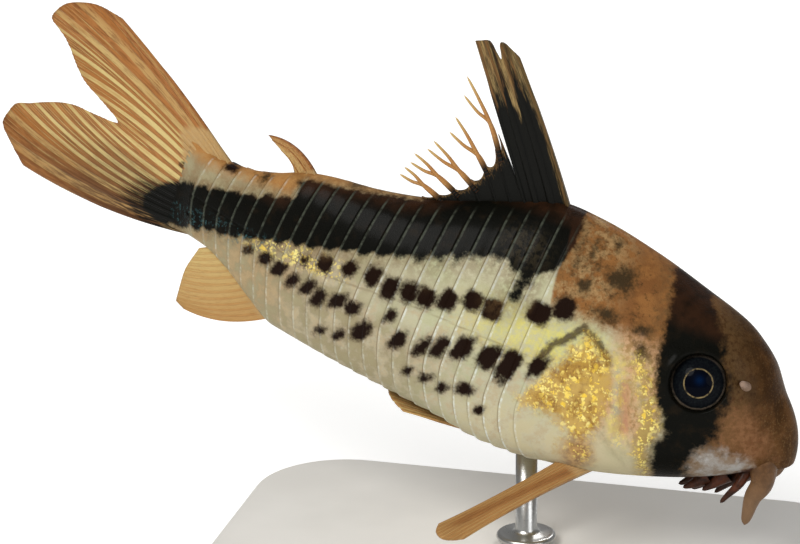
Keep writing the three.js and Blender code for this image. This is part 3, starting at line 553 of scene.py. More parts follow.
def skin_material(props):
    material, paint, shader = new_material(
        "Catfish skin", Coat_Weight=props.wetness, Coat_Roughness=0.18, Coat_IOR=1.2, IOR=1.1
    )
    ragged = group_named("Ragged edge", ragged_group)
    grain = paint.group(group_named("Wet grain", grain_group), Scale=1.0, Coarse=0.6)
    flakes = paint.group(group_named("Shining flakes", flake_group), Scale=1.0, Share=0.42)
    broad = paint.noise(0.35, 4, 0.6)
    middle = paint.noise(0.9, 4, 0.6)
    small = paint.noise(2.6, 3, 0.6)
    fine = paint.noise(6.0, 3, 0.6)

    def zone(name, wander, softness):
        return paint.group(ragged, Distance=paint.attribute(name), Wander=wander, Softness=softness)["Mask"]

    front = paint.mix(paint.step(broad, 0.35, 0.65), colour(props.cream), colour(props.pale_flank))
    rear = paint.mix(paint.step(middle, 0.35, 0.65), colour(props.rear_flank), colour(props.rear_tan))
    base = paint.mix(paint.attribute("rear"), front, rear)
    base = paint.mix(paint.times(paint.attribute("belly"), 0.8), base, colour(props.belly))
    glow = paint.times(paint.attribute("pearl"), paint.step(middle, 0.42, 0.66))
    base = paint.mix(paint.times(glow, 0.6), base, colour(props.pearl))
    flecked = paint.step(small, 0.25, 0.6, 0.5, 1.0)
    blotch = paint.times(paint.attribute("blotch"), paint.step(middle, 0.45, 0.62), flecked)
    base = paint.mix(paint.times(blotch, 0.7), base, colour(props.flank_tan))
    warm = paint.times(paint.attribute("yellow"), paint.step(small, 0.2, 0.8), paint.step(middle, 0.3, 0.5))
    base = paint.mix(warm, base, colour(props.yellow))

    back = paint.mix(paint.step(middle, 0.38, 0.62), colour(props.back_tan), colour(props.back_rust))
    olive = paint.times(paint.attribute("olive"), paint.step(middle, 0.42, 0.58), paint.step(small, 0.3, 0.5))
    back = paint.mix(olive, back, colour(props.back_olive))
    mottle = paint.times(paint.step(small, 0.52, 0.7), paint.step(fine, 0.3, 0.6))
    back = paint.mix(paint.times(mottle, 0.6), back, colour(props.smoke))
    base = paint.mix(zone("back", 0.9, 0.8), base, back)
    top = paint.mix(small, colour(props.top_tan), colour(props.top_rust))
    base = paint.mix(zone("top", 0.5, 0.6), base, top)

    share = paint.math("FRACT", paint.attribute("plate"))
    plated = paint.attribute("plated")
    # Each scute's rear rim carries a painted highlight: pale on the flank, grey-teal in the black.
    rim = paint.times(paint.step(share, 0.8, 0.9), paint.step(share, 0.99, 0.96), plated)
    # Painted shade in the crevice at each scute's front edge and along the seam between the two rows.
    crack = paint.times(paint.step(share, 0.1, 0.0), plated)
    seam = paint.times(paint.step(paint.attribute("seam"), 0.13, 0.03), plated)
    faint = paint.minus(1.0, paint.times(paint.attribute("rear"), 0.65))
    lit = paint.times(rim, paint.step(small, 0.42, 0.62, 0.12, 0.9), faint)
    base = paint.mix(lit, base, colour(props.plate_rim_highlight))
    lines = paint.greater(crack, paint.times(seam, 0.5))
    shade = paint.times(lines, paint.step(middle, 0.3, 0.6, 0.35, 0.75))
    base = paint.mix(shade, base, colour(props.plate_crack_shade))

    side = paint.times(paint.attribute("gill_side"), paint.step(middle, 0.3, 0.6, 0.5, 0.95))
    blush = paint.mix(paint.step(small, 0.4, 0.6), colour(props.gill_blush), colour(props.gill_tan))
    base = paint.mix(side, base, blush)
    arch = paint.step(paint.plus(paint.attribute("arch"), paint.times(small, 0.6)), 0.78, 0.4)
    base = paint.mix(paint.times(arch, 0.85), base, colour(props.arch_brown))
    gold = zone("gold", 1.1, 0.6)
    amber = paint.mix(paint.step(small, 0.3, 0.6), colour(props.gold_deep), colour(props.gold))
    amber = paint.mix(paint.step(middle, 0.42, 0.62, 0.0, 0.7), amber, colour(props.gold_pale))
    base = paint.mix(paint.times(gold, 0.92), base, amber)
    crest_edge = paint.plus(paint.attribute("crest"), paint.times(middle, 0.9))
    crest = paint.times(paint.step(crest_edge, 1.25, 0.5), paint.step(small, 0.3, 0.55, 0.3, 1.0))
    crest_tone = paint.mix(paint.step(middle, 0.4, 0.6), colour(props.crest), colour(props.pale_flank))
    base = paint.mix(paint.times(crest, 0.8), base, crest_tone)
    frayed = paint.plus(paint.times(middle, 1.2), paint.times(small, 0.5))
    slit_edge = paint.plus(paint.attribute("slit"), frayed)
    base = paint.mix(paint.times(paint.step(slit_edge, 1.7, 0.7), 0.6), base, colour(props.gill_blush))
    base = paint.mix(paint.times(paint.step(slit_edge, 1.25, 0.6), 0.62), base, colour(props.gill_pink))

    snout = paint.mix(paint.step(middle, 0.35, 0.65), colour(props.snout_olive), colour(props.snout_brown))
    snout = paint.mix(paint.times(paint.step(fine, 0.52, 0.7), 0.6), snout, colour(props.snout_fleck))
    base = paint.mix(paint.attribute("snout"), base, snout)
    singe = paint.plus(paint.attribute("black"), paint.times(middle, 2.2))
    singe = paint.times(paint.step(singe, 3.4, 1.1), paint.attribute("snout"), paint.attribute("high"))
    base = paint.mix(paint.times(singe, 0.8), base, colour(props.singe))
    cheek = paint.mix(paint.step(small, 0.35, 0.65), colour(props.cheek), colour(props.cheek_rose))
    cheek = paint.mix(paint.times(paint.step(fine, 0.55, 0.7), 0.5), cheek, colour(props.snout_brown))
    base = paint.mix(zone("cheek", 1.6, 1.1), base, cheek)
    lip = paint.mix(paint.step(middle, 0.35, 0.6), colour(props.lip_blue), colour(props.lip_tan))
    base = paint.mix(paint.times(zone("lip", 0.9, 0.6), 0.9), base, lip)

    root_edge = paint.plus(paint.attribute("fin_root"), paint.times(middle, 1.0))
    tawny_root = paint.mix(paint.step(small, 0.35, 0.65), colour(props.root_tan), colour(props.cheek))
    base = paint.mix(paint.times(paint.step(root_edge, 1.7, 0.8), 0.8), base, tawny_root)
    # The dark line under the lip: painted shade in the mouth's gap.
    gape = paint.step(paint.plus(paint.attribute("mouth"), paint.times(small, 0.3)), 0.5, 0.28)
    base = paint.mix(paint.times(gape, 0.9), base, colour(props.mouth_gap_shade))
    opercle = paint.times(zone("opercle", 1.0, 0.5), paint.step(middle, 0.32, 0.5))
    tawny = paint.mix(small, colour(props.gold_deep), colour(props.crest))
    base = paint.mix(paint.times(opercle, 0.85), base, tawny)
    base = paint.mix(paint.times(zone("smudge", 1.2, 0.6), 0.95), base, colour(props.smoke))

    base = paint.mix(paint.times(zone("spots", 0.5, 0.6), 0.45), base, colour(props.spot_edge))
    spots = zone("spots", 0.42, 0.22)
    base = paint.mix(spots, base, colour(props.spot_brown))
    halo = paint.times(paint.step(paint.attribute("black"), 1.1, 0.0), paint.step(small, 0.25, 0.6))
    base = paint.mix(paint.times(halo, 0.5), base, colour(props.halo))
    black = zone("black", 0.4, 0.2)
    ink = paint.mix(paint.step(middle, 0.5, 0.75), colour(props.ink), colour(props.ink_sheen))
    smoky = paint.times(paint.attribute("smoky"), paint.step(small, 0.4, 0.6))
    ink = paint.mix(smoky, ink, colour(props.ink_smoky))
    crown = paint.step(paint.attribute("crown"), 1.5, 0.2)
    rusty = paint.times(crown, paint.step(middle, 0.3, 0.6, 0.4, 1.0))
    ink = paint.mix(paint.times(rusty, 0.7), ink, colour(props.ink_rust))
    # Painted highlight on the scute rims within the black.
    ink = paint.mix(paint.times(rim, paint.step(small, 0.3, 0.65, 0.2, 1.0)), ink, colour(props.ink_rim_highlight))
    base = paint.mix(black, base, ink)

    metal_zone = paint.greater(gold, paint.greater(opercle, paint.times(crest, 0.5)))
    metal_zone = paint.greater(metal_zone, paint.times(paint.attribute("glint"), 0.9))
    clear = paint.minus(1.0, paint.greater(black, spots))
    shine = paint.times(metal_zone, flakes["Mask"], clear, paint.step(middle, 0.3, 0.6, 0.35, 0.9))
    bright = paint.mix(flakes["Brightness"], colour(props.flake), colour(props.flake_pale))
    teal = paint.times(paint.attribute("teal"), paint.step(small, 0.5, 0.64), paint.step(fine, 0.4, 0.6))
    base = paint.mix(paint.times(teal, 0.5), base, colour(props.teal))
    paint.feed(shader.inputs["Base Color"], paint.mix(shine, base, bright))
    paint.feed(shader.inputs["Metallic"], paint.times(shine, 0.25))
    rough = paint.plus(paint.times(grain["Gloss"], 0.3), 0.34)
    paint.feed(shader.inputs["Roughness"], paint.minus(rough, paint.times(shine, 0.2)))
    height = paint.plus(grain["Height"], paint.times(shine, flakes["Brightness"]))
    bump(paint, shader, height, 0.05, 0.8)
    return material


def fin_material(props):
    """Rays that fork twice towards the fin's edge, drawn from each point's distance to its own ray."""
    material, paint, shader = new_material(
        "Fin web and rays", Coat_Weight=0.1, Coat_Roughness=0.25, Coat_IOR=1.2, IOR=1.18
    )
    across = paint.attribute("across")
    along = paint.attribute("along")
    ink = paint.attribute("ink")
    turned = paint.add("ShaderNodeCombineXYZ")
    paint.feed(turned.inputs[0], across)
    paint.feed(turned.inputs[1], paint.times(along, 1.1))
    hairs = paint.noise(9.0 * MM, 3, 0.65, turned.outputs[0])
    bands = paint.noise(1.7 * MM, 3, 0.6, turned.outputs[0])
    small = paint.noise(4.0, 3, 0.6)

    off = paint.minus(across, paint.math("ROUND", across))
    for fork in ("fork_a", "fork_b"):
        off = paint.minus(paint.math("ABSOLUTE", off), paint.attribute(fork))
    near = paint.math("DIVIDE", paint.math("ABSOLUTE", off), paint.attribute("girth"))
    rough_edge = paint.times(paint.minus(hairs, 0.5), 0.7)
    line = paint.step(paint.plus(near, rough_edge), 1.15, 0.8)
    firmness = paint.attribute("contrast")
    banded = paint.times(paint.step(bands, 0.45, 0.75), firmness)
    web = paint.mix(banded, colour(props.web_pale), colour(props.web_tan))
    warmth = paint.attribute("warmth")
    web = paint.mix(paint.times(warmth, 0.85), web, colour(props.web_warm))
    veined = paint.times(paint.step(hairs, 0.48, 0.62), paint.step(warmth, 0.0, 1.0, 0.1, 0.75))
    web = paint.mix(paint.times(veined, firmness), web, colour(props.ray_brown))
    dusk = paint.attribute("dusk")
    dusky = paint.times(dusk, paint.step(hairs, 0.32, 0.55, 0.25, 1.0))
    web = paint.mix(paint.times(dusky, 0.85), web, colour(props.ray_dusk))
    bone = paint.mix(paint.step(hairs, 0.38, 0.62), colour(props.ray_amber), colour(props.ray_brown))
    bone = paint.mix(paint.step(bands, 0.35, 0.65, 0.0, 0.6), bone, colour(props.web_warm))
    bone = paint.mix(dusk, bone, colour(props.ray_dusk))
    tone = paint.mix(paint.times(line, firmness), web, bone)
    murk = paint.times(paint.attribute("murk"), paint.step(hairs, 0.3, 0.6, 0.55, 1.0))
    tone = paint.mix(murk, tone, colour(props.fin_olive))
    rooted = paint.plus(paint.attribute("flesh"), paint.times(hairs, 0.5))
    flesh = paint.step(rooted, 0.6, 0.9)
    tone = paint.mix(flesh, tone, paint.mix(small, colour(props.flesh), colour(props.web_tan)))
    dirty = paint.plus(ink, paint.times(paint.minus(hairs, 0.5), 0.8))
    black = paint.step(dirty, 0.3, 0.7)
    tone = paint.mix(black, tone, colour(props.fin_ink))
    paint.feed(shader.inputs["Base Color"], tone)
    solid = paint.greater(paint.greater(line, flesh), paint.times(black, 0.97))
    paint.feed(shader.inputs["Alpha"], paint.step(solid, 0.0, 1.0, props.web_opacity, 1.0))
    roughen(paint, shader, small, 0.25, 0.35)
    bump(paint, shader, paint.times(paint.plus(hairs, line), firmness), 0.04, 0.6)
    return material


def eye_material(props):
    material, paint, shader = new_material(
        "Glass eye", Roughness=0.4, Coat_Weight=0.25, Coat_Roughness=0.06, Coat_IOR=1.16, IOR=1.05
    )
    ring = paint.attribute("ring")
    grain = paint.noise(3.0, 4, 0.6)
    fibres = paint.noise(7.0, 2, 0.5)
    wobble = paint.plus(ring, paint.times(paint.minus(grain, 0.5), 0.03))
    iris = paint.mix(paint.step(fibres, 0.4, 0.7), colour(props.iris), colour(props.iris_teal))
    near = paint.math("ABSOLUTE", paint.minus(wobble, props.pupil_share))
    gold = paint.times(paint.step(near, 0.035, 0.012), paint.step(grain, 0.38, 0.6, 0.12, 1.0))
    lens = paint.mix(paint.attribute("glow"), colour(props.pupil), colour(props.pupil_glow))
    tone = paint.mix(paint.step(wobble, props.pupil_share, props.pupil_share - 0.03), iris, lens)
    tone = paint.mix(gold, tone, colour(props.iris_ring))
    rim = paint.times(paint.step(wobble, 0.86, 0.92), paint.step(grain, 0.3, 0.55, 0.35, 1.0))
    edge = paint.times(rim, paint.attribute("low"))
    tone = paint.mix(edge, tone, colour(props.orbit))
    paint.feed(shader.inputs["Base Color"], tone)
    bump(paint, shader, fibres, 0.006, 0.2)
    return material


def flesh_material(name, first, second, tip_tone, wetness):
    """Bare soft skin, as on barbels, lips and nostril flaps."""
    material, paint, shader = new_material(
        name, Coat_Weight=wetness, Coat_Roughness=0.2, Coat_IOR=1.3, IOR=1.22
    )
    grain = paint.group(group_named("Wet grain", grain_group), Scale=1.3, Coarse=0.7)
    patches = paint.noise(1.2, 4, 0.65)
    tone = paint.mix(paint.step(patches, 0.35, 0.65), colour(first), colour(second))
    tip = paint.attribute("tip")
    tone = paint.mix(paint.step(tip, 0.25, 0.9, 0.0, 0.7), tone, colour(tip_tone))
    paint.feed(shader.inputs["Base Color"], tone)
    roughen(paint, shader, grain["Gloss"], 0.3, 0.32)
    bump(paint, shader, grain["Height"], 0.05, 0.8)
    return material


def lacquer_material(props):
    material, paint, shader = new_material("Satin lacquer", Coat_Weight=0.15, Coat_Roughness=0.3)
    speckle = paint.noise(3.0, 2, 0.5)
    cloud = paint.noise(0.08, 3, 0.5)
    tone = paint.mix(paint.step(cloud, 0.35, 0.65), colour(props.lacquer), colour(props.lacquer_shade))
    paint.feed(shader.inputs["Base Color"], tone)
    roughen(paint, shader, speckle, 0.14, 0.36)
    bump(paint, shader, speckle, 0.012, 0.4)
    return material


def steel_material(props):
    material, paint, shader = new_material("Brushed steel", Metallic=1.0)
    stretched = paint.add("ShaderNodeMapping")
    stretched.inputs["Scale"].default_value = (1, 1, 24)
    paint.feed(stretched.inputs["Vector"], paint.coordinates())
    brushed = paint.noise(1.2, 4, 0.7, stretched.outputs[0])
    tone = paint.mix(brushed, colour(props.steel), colour(props.steel_shade))
    paint.feed(shader.inputs["Base Color"], tone)
    roughen(paint, shader, brushed, 0.2, 0.2)
    bump(paint, shader, brushed, 0.01, 0.4)
    return material


def floor_material(props):
    material, paint, shader = new_material(
        "Pale floor", Roughness=0.9, Emission_Color=(1, 1, 1, 1), Emission_Strength=0.4
    )
    cloud = paint.noise(0.01, 2, 0.5)
    tone = paint.mix(cloud, colour(props.floor), colour(props.floor_shade))
    paint.feed(shader.inputs["Base Color"], tone)
    return material


def outward(points, faces):
    """The faces, turned if they enclose a negative volume."""
    a, b, c = (points[faces[:, k]] for k in range(3))
    if np.einsum("ij,ij->i", a, np.cross(b, c)).sum() < 0:
        return faces[:, ::-1]
    return faces


def mesh_piece(name, points, faces, material, attributes=None):
    """A mesh object at the origin from metres in the shared frame, with float attributes on its points."""
    mesh = bpy.data.meshes.new(name)
    mesh.from_pydata(points.tolist(), [], [list(map(int, face)) for face in faces])
    for label, values in (attributes or {}).items():
        layer = mesh.attributes.new(label, "FLOAT", "POINT")
        layer.data.foreach_set("value", np.asarray(values, np.float32).ravel())
    mesh.polygons.foreach_set("use_smooth", [True] * len(mesh.polygons))
    mesh.materials.append(material)
    mesh.update()
    piece = bpy.data.objects.new(name, mesh)
    bpy.context.scene.collection.objects.link(piece)
    return piece


def settle(piece, slot, *nodes):
    """Rides a finished piece on the fish's one body and hides the nodes it stands for. The slot is not used.
    """
    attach(piece, BODY)
    if nodes:
        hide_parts(*nodes)


def ring_faces(rings, count):
    """Quads between closed rings of equal count."""
    a = (np.arange(rings - 1)[:, None] * count + np.arange(count)[None]).ravel()
    b = (np.arange(rings - 1)[:, None] * count + (np.arange(count) + 1)[None] % count).ravel()
    return np.stack([a, a + count, b + count, b], axis=1)


def pole_caps(rings, count):
    """Triangles that close the first and the last ring on two points added after them."""
    last = rings * count
    loop = np.arange(count)
    after = (loop + 1) % count
    return np.concatenate([
        np.stack([np.full(count, last), loop, after], axis=1),
        np.stack([np.full(count, last + 1), last - count + after, last - count + loop], axis=1),
    ])


def closed_stack(rings, count):
    """Quads between stacked rings, with a flat face under the first and over the last."""
    loop = np.arange(count)
    return [*ring_faces(rings, count)[:, ::-1], loop[::-1], (rings - 1) * count + loop]


def eye_frame(side):
    """An eye's centre and axes in the straight fish, its last axis facing out."""
    at = hull_point(EYE_STATION, flank_turn(EYE_STATION, EYE_HEIGHT))
    out = np.array([
        math.sin(EYE_TURN) * math.cos(EYE_TILT),
        -math.cos(EYE_TURN) * math.cos(EYE_TILT),
        math.sin(EYE_TILT),
    ])
    centre = at - out * EYE_INSET
    along = np.cross([0, 0, 1.0], out)
    along /= np.linalg.norm(along)
    axes = np.stack([along, np.cross(out, along), out])
    mirror = np.array([1, side, 1])
    return centre * mirror, axes * mirror


def skin_grid():
    """Stations, column shares and slants of the skin's rings, which follow each scute's border."""
    head = np.concatenate([[0.02, 0.08, 0.18, 0.32, 0.5], np.arange(0.66, FIRST_SCUTE - 0.05, 0.148)])
    shares = np.array([0.02, 0.12, 0.27, 0.45, 0.63, 0.8, 0.93, 0.985])
    columns = (np.arange(SCUTE_COUNT)[:, None] + shares[None]).ravel()
    scutes = FIRST_SCUTE + columns * SCUTE_PITCH
    fan = TAIL_ROOT + 0.1 + np.linspace(0.1, 1, 8) * TAIL_FLESH
    stations = np.concatenate([head, scutes, fan])
    column = np.concatenate([np.full(len(head), -1.0), columns, np.full(len(fan), -1.0)])
    slanted = np.concatenate([
        smooth_step(13.5, FIRST_SCUTE, head), np.ones(len(scutes)), np.linspace(0.9, 0, len(fan))
    ])
    return stations, column, slanted


def thin_to_fin(points, station):
    """Thins the skin to the tail fin's web behind the last scute."""
    share = np.clip((station - TAIL_ROOT) / TAIL_FLESH, 0, 1)
    points = points.copy()
    points[..., 1] *= 1 - 0.85 * smooth_step(-0.35, 1, share) * (share > 0)
    points[..., 2] *= 1 + 0.1 * share
    return points


def even_turns(station, count):
    """Turns that share one half of a section's outline into equal lengths."""
    fine = np.linspace(0, math.pi, 500)
    outline = hull_point(np.full(fine.shape, station), fine)
    steps = np.linalg.norm(np.diff(outline, axis=0), axis=1)
    travelled = np.concatenate([[0], np.cumsum(steps)])
    return np.interp(np.linspace(0, travelled[-1], count + 1), travelled, fine)


def scute_lift(props, column, turn, seam_distance):
    """How far a scute stands out: it rises to its rear edge, and drops at the seam and at its ends."""
    share = column - np.floor(column)
    rise = props.scute_lift * (0.15 + 0.85 * smooth_step(0.0, 0.9, share))
    up = np.cos(turn)
    ends = smooth_step(-0.97, -0.82, up) * smooth_step(0.99, 0.93, up)
    rows = smooth_step(0.04, 0.2, seam_distance)
    first = smooth_step(0.3, 2.2, column - 1.2 * (up - 0.2))
    plated = np.where(column >= 0, ends * first, 0)
    return rise * plated * (0.35 + 0.65 * rows) - 0.03 * plated * (1 - rows), plated


def back_edge(u):
    """How high on the flank the tan of the back begins."""
    along = [-60, -41, -40.5, -31, -21, -20.4, -14.5, -12, -8]
    height = [3.2, 3.4, 4.8, 6.6, 6.6, 2.7, 2.4, 1.6, 1.6]
    return np.interp(u, along, height)


def black_distance(u, w, share, plated):
    """Distance to the eye bar and to the flank stripe, whose foot is soft and scalloped by the scutes."""
    scallop = plated * 0.3 * (2 * share - 1) ** 2 * smooth_step(5.4, 3.4, w)
    stripe = outline_distance(u, w, FLANK_STRIPE) + scallop
    vague = smooth_step(-34, -29, u) * smooth_step(-20.6, -22.5, u) * smooth_step(5.6, 3.6, w)
    bar = outline_distance(u, w, EYE_BAR) * (0.6 - 0.25 * smooth_step(-9, -7, u))
    return np.minimum(bar, stripe * (1 - 0.62 * vague))


def skin_masks(u, w, share, plated):
    """The markings on the flank, as distances in millimetres or soft shares."""
    return {
        "black": black_distance(u, w, share, plated),
        "spots": np.minimum(
            spot_distance(u, w, UPPER_SPOTS), spot_distance(u, w, LOWER_SPOTS + SMALL_SPOTS, 0.25)
        ) - 0.04,
        "smudge": spot_distance(u, w, SMUDGES),
        "smoky": smooth_step(2.2, 0.6, np.hypot((u + 23.6) * 0.75, w - 6)),
        "gold": np.minimum(outline_distance(u, w, GOLD_PATCH), spot_distance(u, w, [PECTORAL_PATCH])),
        "opercle": outline_distance(u, w, OPERCLE_GOLD),
        "crest": path_distance(u, w, SHOULDER_EDGE[:5]),
        "arch": path_distance(u, w, SHOULDER_ARCH),
        "slit": path_distance(u, w, GILL_SLIT),
        "gill_side": smooth_step(-15.8, -14, u) * smooth_step(-9.5, -10.5, u) * smooth_step(-6, -3.5, w)
        * smooth_step(3.8, 2, w),
        # Distance to the line under the lip, where the mouth's gap gets painted shade.
        "mouth": path_distance(u, w, MOUTH_LINE),
        "fin_root": np.hypot((u + 14.7) / 1.6, (w + 6.7) / 1.6),
        "cheek": outline_distance(u, w, CHEEK),
        "lip": outline_distance(u, w, LIP),
        "snout": smooth_step(-10.5, -7.5, u),
        "high": smooth_step(-0.5, 1.5, w),
        "crown": back_edge(u) - w + 3 * smooth_step(-32, -27, u) + smooth_step(-16, -12, u),
        "back": np.where(u > -31, back_edge(u) - w, 9.0),
        "top": np.where(u > -31, 9.0, back_edge(u) - w),
        "olive": smooth_step(-14.5, -18, u),
        "rear": smooth_step(-28, -38, u - 7 * smooth_step(-1.5, -4.5, w)),
        "blotch": smooth_step(-12.5, -15.5, u) * smooth_step(2, -1.5, w),
        "yellow": smooth_step(-29, -21, u) * smooth_step(-2.8, -0.5, w) * smooth_step(2.8, 0.8, w),
        "belly": smooth_step(-3.8, -6.5, w) * smooth_step(-27, -21, u),
        "pearl": smooth_step(-41, -36, u) * smooth_step(-13, -18, u) * smooth_step(2.5, -2, w),
        "glint": smooth_step(-44, -40.5, u) * smooth_step(-34, -37, u)
        * smooth_step(1.1, 0.4, np.abs(w + 0.5)),
        "teal": smooth_step(-51, -48, u) * smooth_step(-39, -41.5, u)
        * smooth_step(1.1, 0.3, np.abs(w + 0.75)),
    }


def plate_relief(u, w, station):
    """The raised gill cover and shoulder plate, with the gill slit sunk between them."""
    cover_rear = smooth_step(0.55, 0.95, path_distance(u, w, GILL_SLIT))
    cover = smooth_step(9.2, 10.2, station) * smooth_step(13.4, 12.6, station)
    cover *= smooth_step(-6.2, -5.2, w) * smooth_step(3.8, 2.6, w)
    shoulder = smooth_step(0.25, -0.25, outline_distance(u, w, SHOULDER_EDGE + SHOULDER_ARCH[-1:0:-1]))
    slit = smooth_step(0.5, 0.1, path_distance(u, w, GILL_SLIT))
    arch = smooth_step(0.25, 0.05, path_distance(u, w, SHOULDER_ARCH))
    return 0.2 * cover * cover_rear + 0.2 * shoulder - 0.3 * slit - 0.12 * arch


def eye_sockets(points, props):
    """Sinks the skin into a cup under each eye and raises a low rim of lid round it."""
    points = points.copy()
    for side in (1, -1):
        centre, axes = eye_frame(side)
        away = points - centre
        out = away @ axes[2]
        reach = np.linalg.norm(away - out[..., None] * axes[2], axis=-1)
        near = (out > -2.5) & (reach < 3.6)
        rim = np.exp(-(((reach - props.eye_radius - 0.22) / 0.26) ** 2)) * 0.12
        cup = smooth_step(props.eye_radius + 0.06, props.eye_radius - 0.18, reach) * 1.35
        ease = smooth_step(3.4, 2.2, reach) * 0.1
        points += np.where(near, rim - cup + ease, 0)[..., None] * axes[2]
    return points


def build_skin(props):
    """One closed skin over the head, torso and tail stem, with its scutes and plates in the mesh."""
    stations, columns, slanted = skin_grid()
    half = props.skin_steps // 2
    rows = []
    turns = []
    reached = []
    for station, shift in zip(stations, slanted):
        right = even_turns(station, half)
        turn = np.concatenate([right, 2 * math.pi - right[-2:0:-1]])
        at = np.clip(station - shift * slant(station, turn), 0.01, TAIL_ROOT + TAIL_FLESH)
        rows.append(hull_point(at, turn))
        turns.append(turn)
        reached.append(at)
    flat = np.stack(rows)
    turn = np.stack(turns)
    station = np.stack(reached)
    column = np.broadcast_to(columns[:, None], turn.shape)
    seam = np.abs(flat[..., 2] - SEAM(station))
    u, w = flank_view(flat)
    lift, plated = scute_lift(props, column, turn, seam)
    lift = lift + plate_relief(u, w, station)
    points = thin_to_fin(hull_point(station, turn, lift), station)
    points = eye_sockets(points, props)
    count = turn.shape[1]
    rings = len(stations)
    masks = skin_masks(u, w, np.where(column < 0, 0.5, column - np.floor(column)), plated)
    masks["plate"] = np.where(column < 0, 0.5, column)
    masks["plated"] = plated
    masks["seam"] = seam
    nose = np.array([[0.0, 0.0, SNOUT_HEIGHT]])
    stump = points[-1].mean(axis=0)[None]
    everything = np.concatenate([points.reshape(-1, 3), nose, stump])
    quads = ring_faces(rings, count)
    caps = pole_caps(rings, count)
    attributes = {}
    for label, values in masks.items():
        attributes[label] = np.concatenate([values.ravel(), values[0, :1], values[-1, :1]])
    where = placed(everything)
    turned = outward(where, quads[:, :3])
    if turned[0, 0] != quads[0, 0]:
        quads = quads[:, ::-1]
        caps = caps[:, ::-1]
    faces = [*quads, *caps]
    return mesh_piece("fish_skin", where, faces, skin_material(props), attributes)


def shares(count):
    """Even shares from 0 to 1, one for each ray of a fin."""
    return [i / (count - 1) for i in range(count)]


def fan_grid(rays, rows, web, ridge, forks, reach=None, wave=None, girth=0.26, root_girth=0.0):
    """A fin's two faces on a grid over its rays, each a (root, tip, bow) on the fin's own plane."""
    count = len(rays)
    per_gap = 16
    ray = np.linspace(0, count - 1, (count - 1) * per_gap + 1)[:, None]
    along = np.linspace(0, 1, rows + 1)[None]
    keys = np.arange(count)

    def blend(part):
        values = np.array([one[part] for one in rays], float)
        return np.stack([smooth_line(list(zip(keys, values[:, k])))(ray) for k in range(2)], axis=-1)

    share = ray / (count - 1)
    ends = 1.0 if reach is None else reach(ray)
    t = along * ends + 0 * ray
    fork_a = 0.18 * smooth_step(forks[0], forks[0] + 0.4, t)
    fork_b = 0.09 * smooth_step(forks[1], forks[1] + 0.3, t)
    width = girth * (1 - 0.68 * smooth_step(forks[0] - 0.1, 1.0, t))
    off = np.abs(np.abs(np.abs(ray - np.round(ray)) - fork_a) - fork_b)
    mask = smooth_step(1.2, 0.5, off / width)
    root, tip, bow = blend(0), blend(1), blend(2)
    flat = root + (tip - root) * t[..., None] + bow * (4 * t * (1 - t))[..., None]
    half = (web + ridge * mask) * (1 - 0.65 * t) / 2 + root_girth * smooth_step(0.16, 0, t)
    out = np.zeros(t.shape) if wave is None else wave(share, t)
    marks = {
        "across": ray + 0 * t,
        "along": t,
        "share": share + 0 * t,
        "fork_a": fork_a,
        "fork_b": fork_b,
        "girth": width,
    }
    return flat, half, out, marks


def fan_piece(name, grid, place, material, **shades):
    """A closed mesh from a fin's grid, its plane points taken into the straight fish by place."""
    flat, half, out, marks = grid
    columns, rows = half.shape
    middle = place(flat[..., 0], flat[..., 1], out)
    u, w = flank_view(middle)
    sides = [placed(place(flat[..., 0], flat[..., 1], out + sign * half)) for sign in (1, -1)]
    points = np.concatenate([side.reshape(-1, 3) for side in sides])
    total = columns * rows
    c, r = np.meshgrid(np.arange(columns - 1), np.arange(rows - 1), indexing="ij")
    a = (c * rows + r).ravel()
    b = a + rows
    rim = np.concatenate([
        np.arange(rows),
        np.arange(1, columns) * rows + rows - 1,
        (columns - 1) * rows + np.arange(rows - 2, -1, -1),
        np.arange(columns - 2, 0, -1) * rows,
    ])
    beyond = np.roll(rim, -1)
    faces = np.concatenate([
        np.stack([a, b, b + 1, a + 1], axis=1),
        np.stack([a + total, a + 1 + total, b + 1 + total, b + total], axis=1),
        np.stack([rim, beyond, beyond + total, rim + total], axis=1),
    ])
    if outward(points, faces[:, :3])[0, 0] != faces[0, 0]:
        faces = faces[:, ::-1]
    values = dict(marks)
    defaults = {"ink": 0, "warmth": 0.3, "dusk": 0, "contrast": 0.9, "flesh": 0, "murk": 0}
    for label, plain in defaults.items():
        shade = shades.get(label, plain)
        values[label] = (shade(marks["share"], marks["along"], u, w) if callable(shade) else shade) + 0 * half
    doubled = {label: np.concatenate([value.ravel()] * 2) for label, value in values.items()}
    return mesh_piece(name, points, faces, material, doubled)


def median(along, up, out):
    """The fish's middle plane."""
    return np.stack([-along, out, up], axis=-1)


def paired(root, direction, facing, side):
    """A paired fin's own plane, mirrored to the left for side -1."""
    length = np.array(direction, float)
    length /= np.linalg.norm(length)
    over = np.cross(facing, length)
    over /= np.linalg.norm(over)
    normal = np.cross(length, over)

    def place(a, b, out):
        points = np.array(root) + a[..., None] * length + b[..., None] * over + out[..., None] * normal
        return points * np.array([1, side, 1])

    return place


# The dorsal fin's rays, as (root, tip, bow) in stations and heights.
DORSAL_BLADE = [
    ((20.9, 10.1), (28.2, 20.3), (-0.1, 0.15)),
    ((22.2, 9.8), (29.8, 20.95), (-0.1, 0.2)),
    ((23.3, 9.4), (30.8, 20.75), (-0.1, 0.1)),
    ((24.1, 9.1), (31.7, 20.3), (-0.1, -0.1)),
]
DORSAL_WEB = [
    ((23.9, 9.2), (28.0, 14.2), (0, 0)),
    ((25.1, 8.8), (27.9, 13.0), (0, 0)),
    ((26.1, 8.4), (28.3, 11.6), (0, 0)),
    ((27.2, 8), (28.9, 10.1), (0, 0)),
    ((28.4, 7.6), (29.9, 8.9), (0, 0)),
    ((29.7, 7.1), (31.1, 8), (0, 0)),
    ((30.9, 6.8), (32, 7.4), (0, 0)),
]
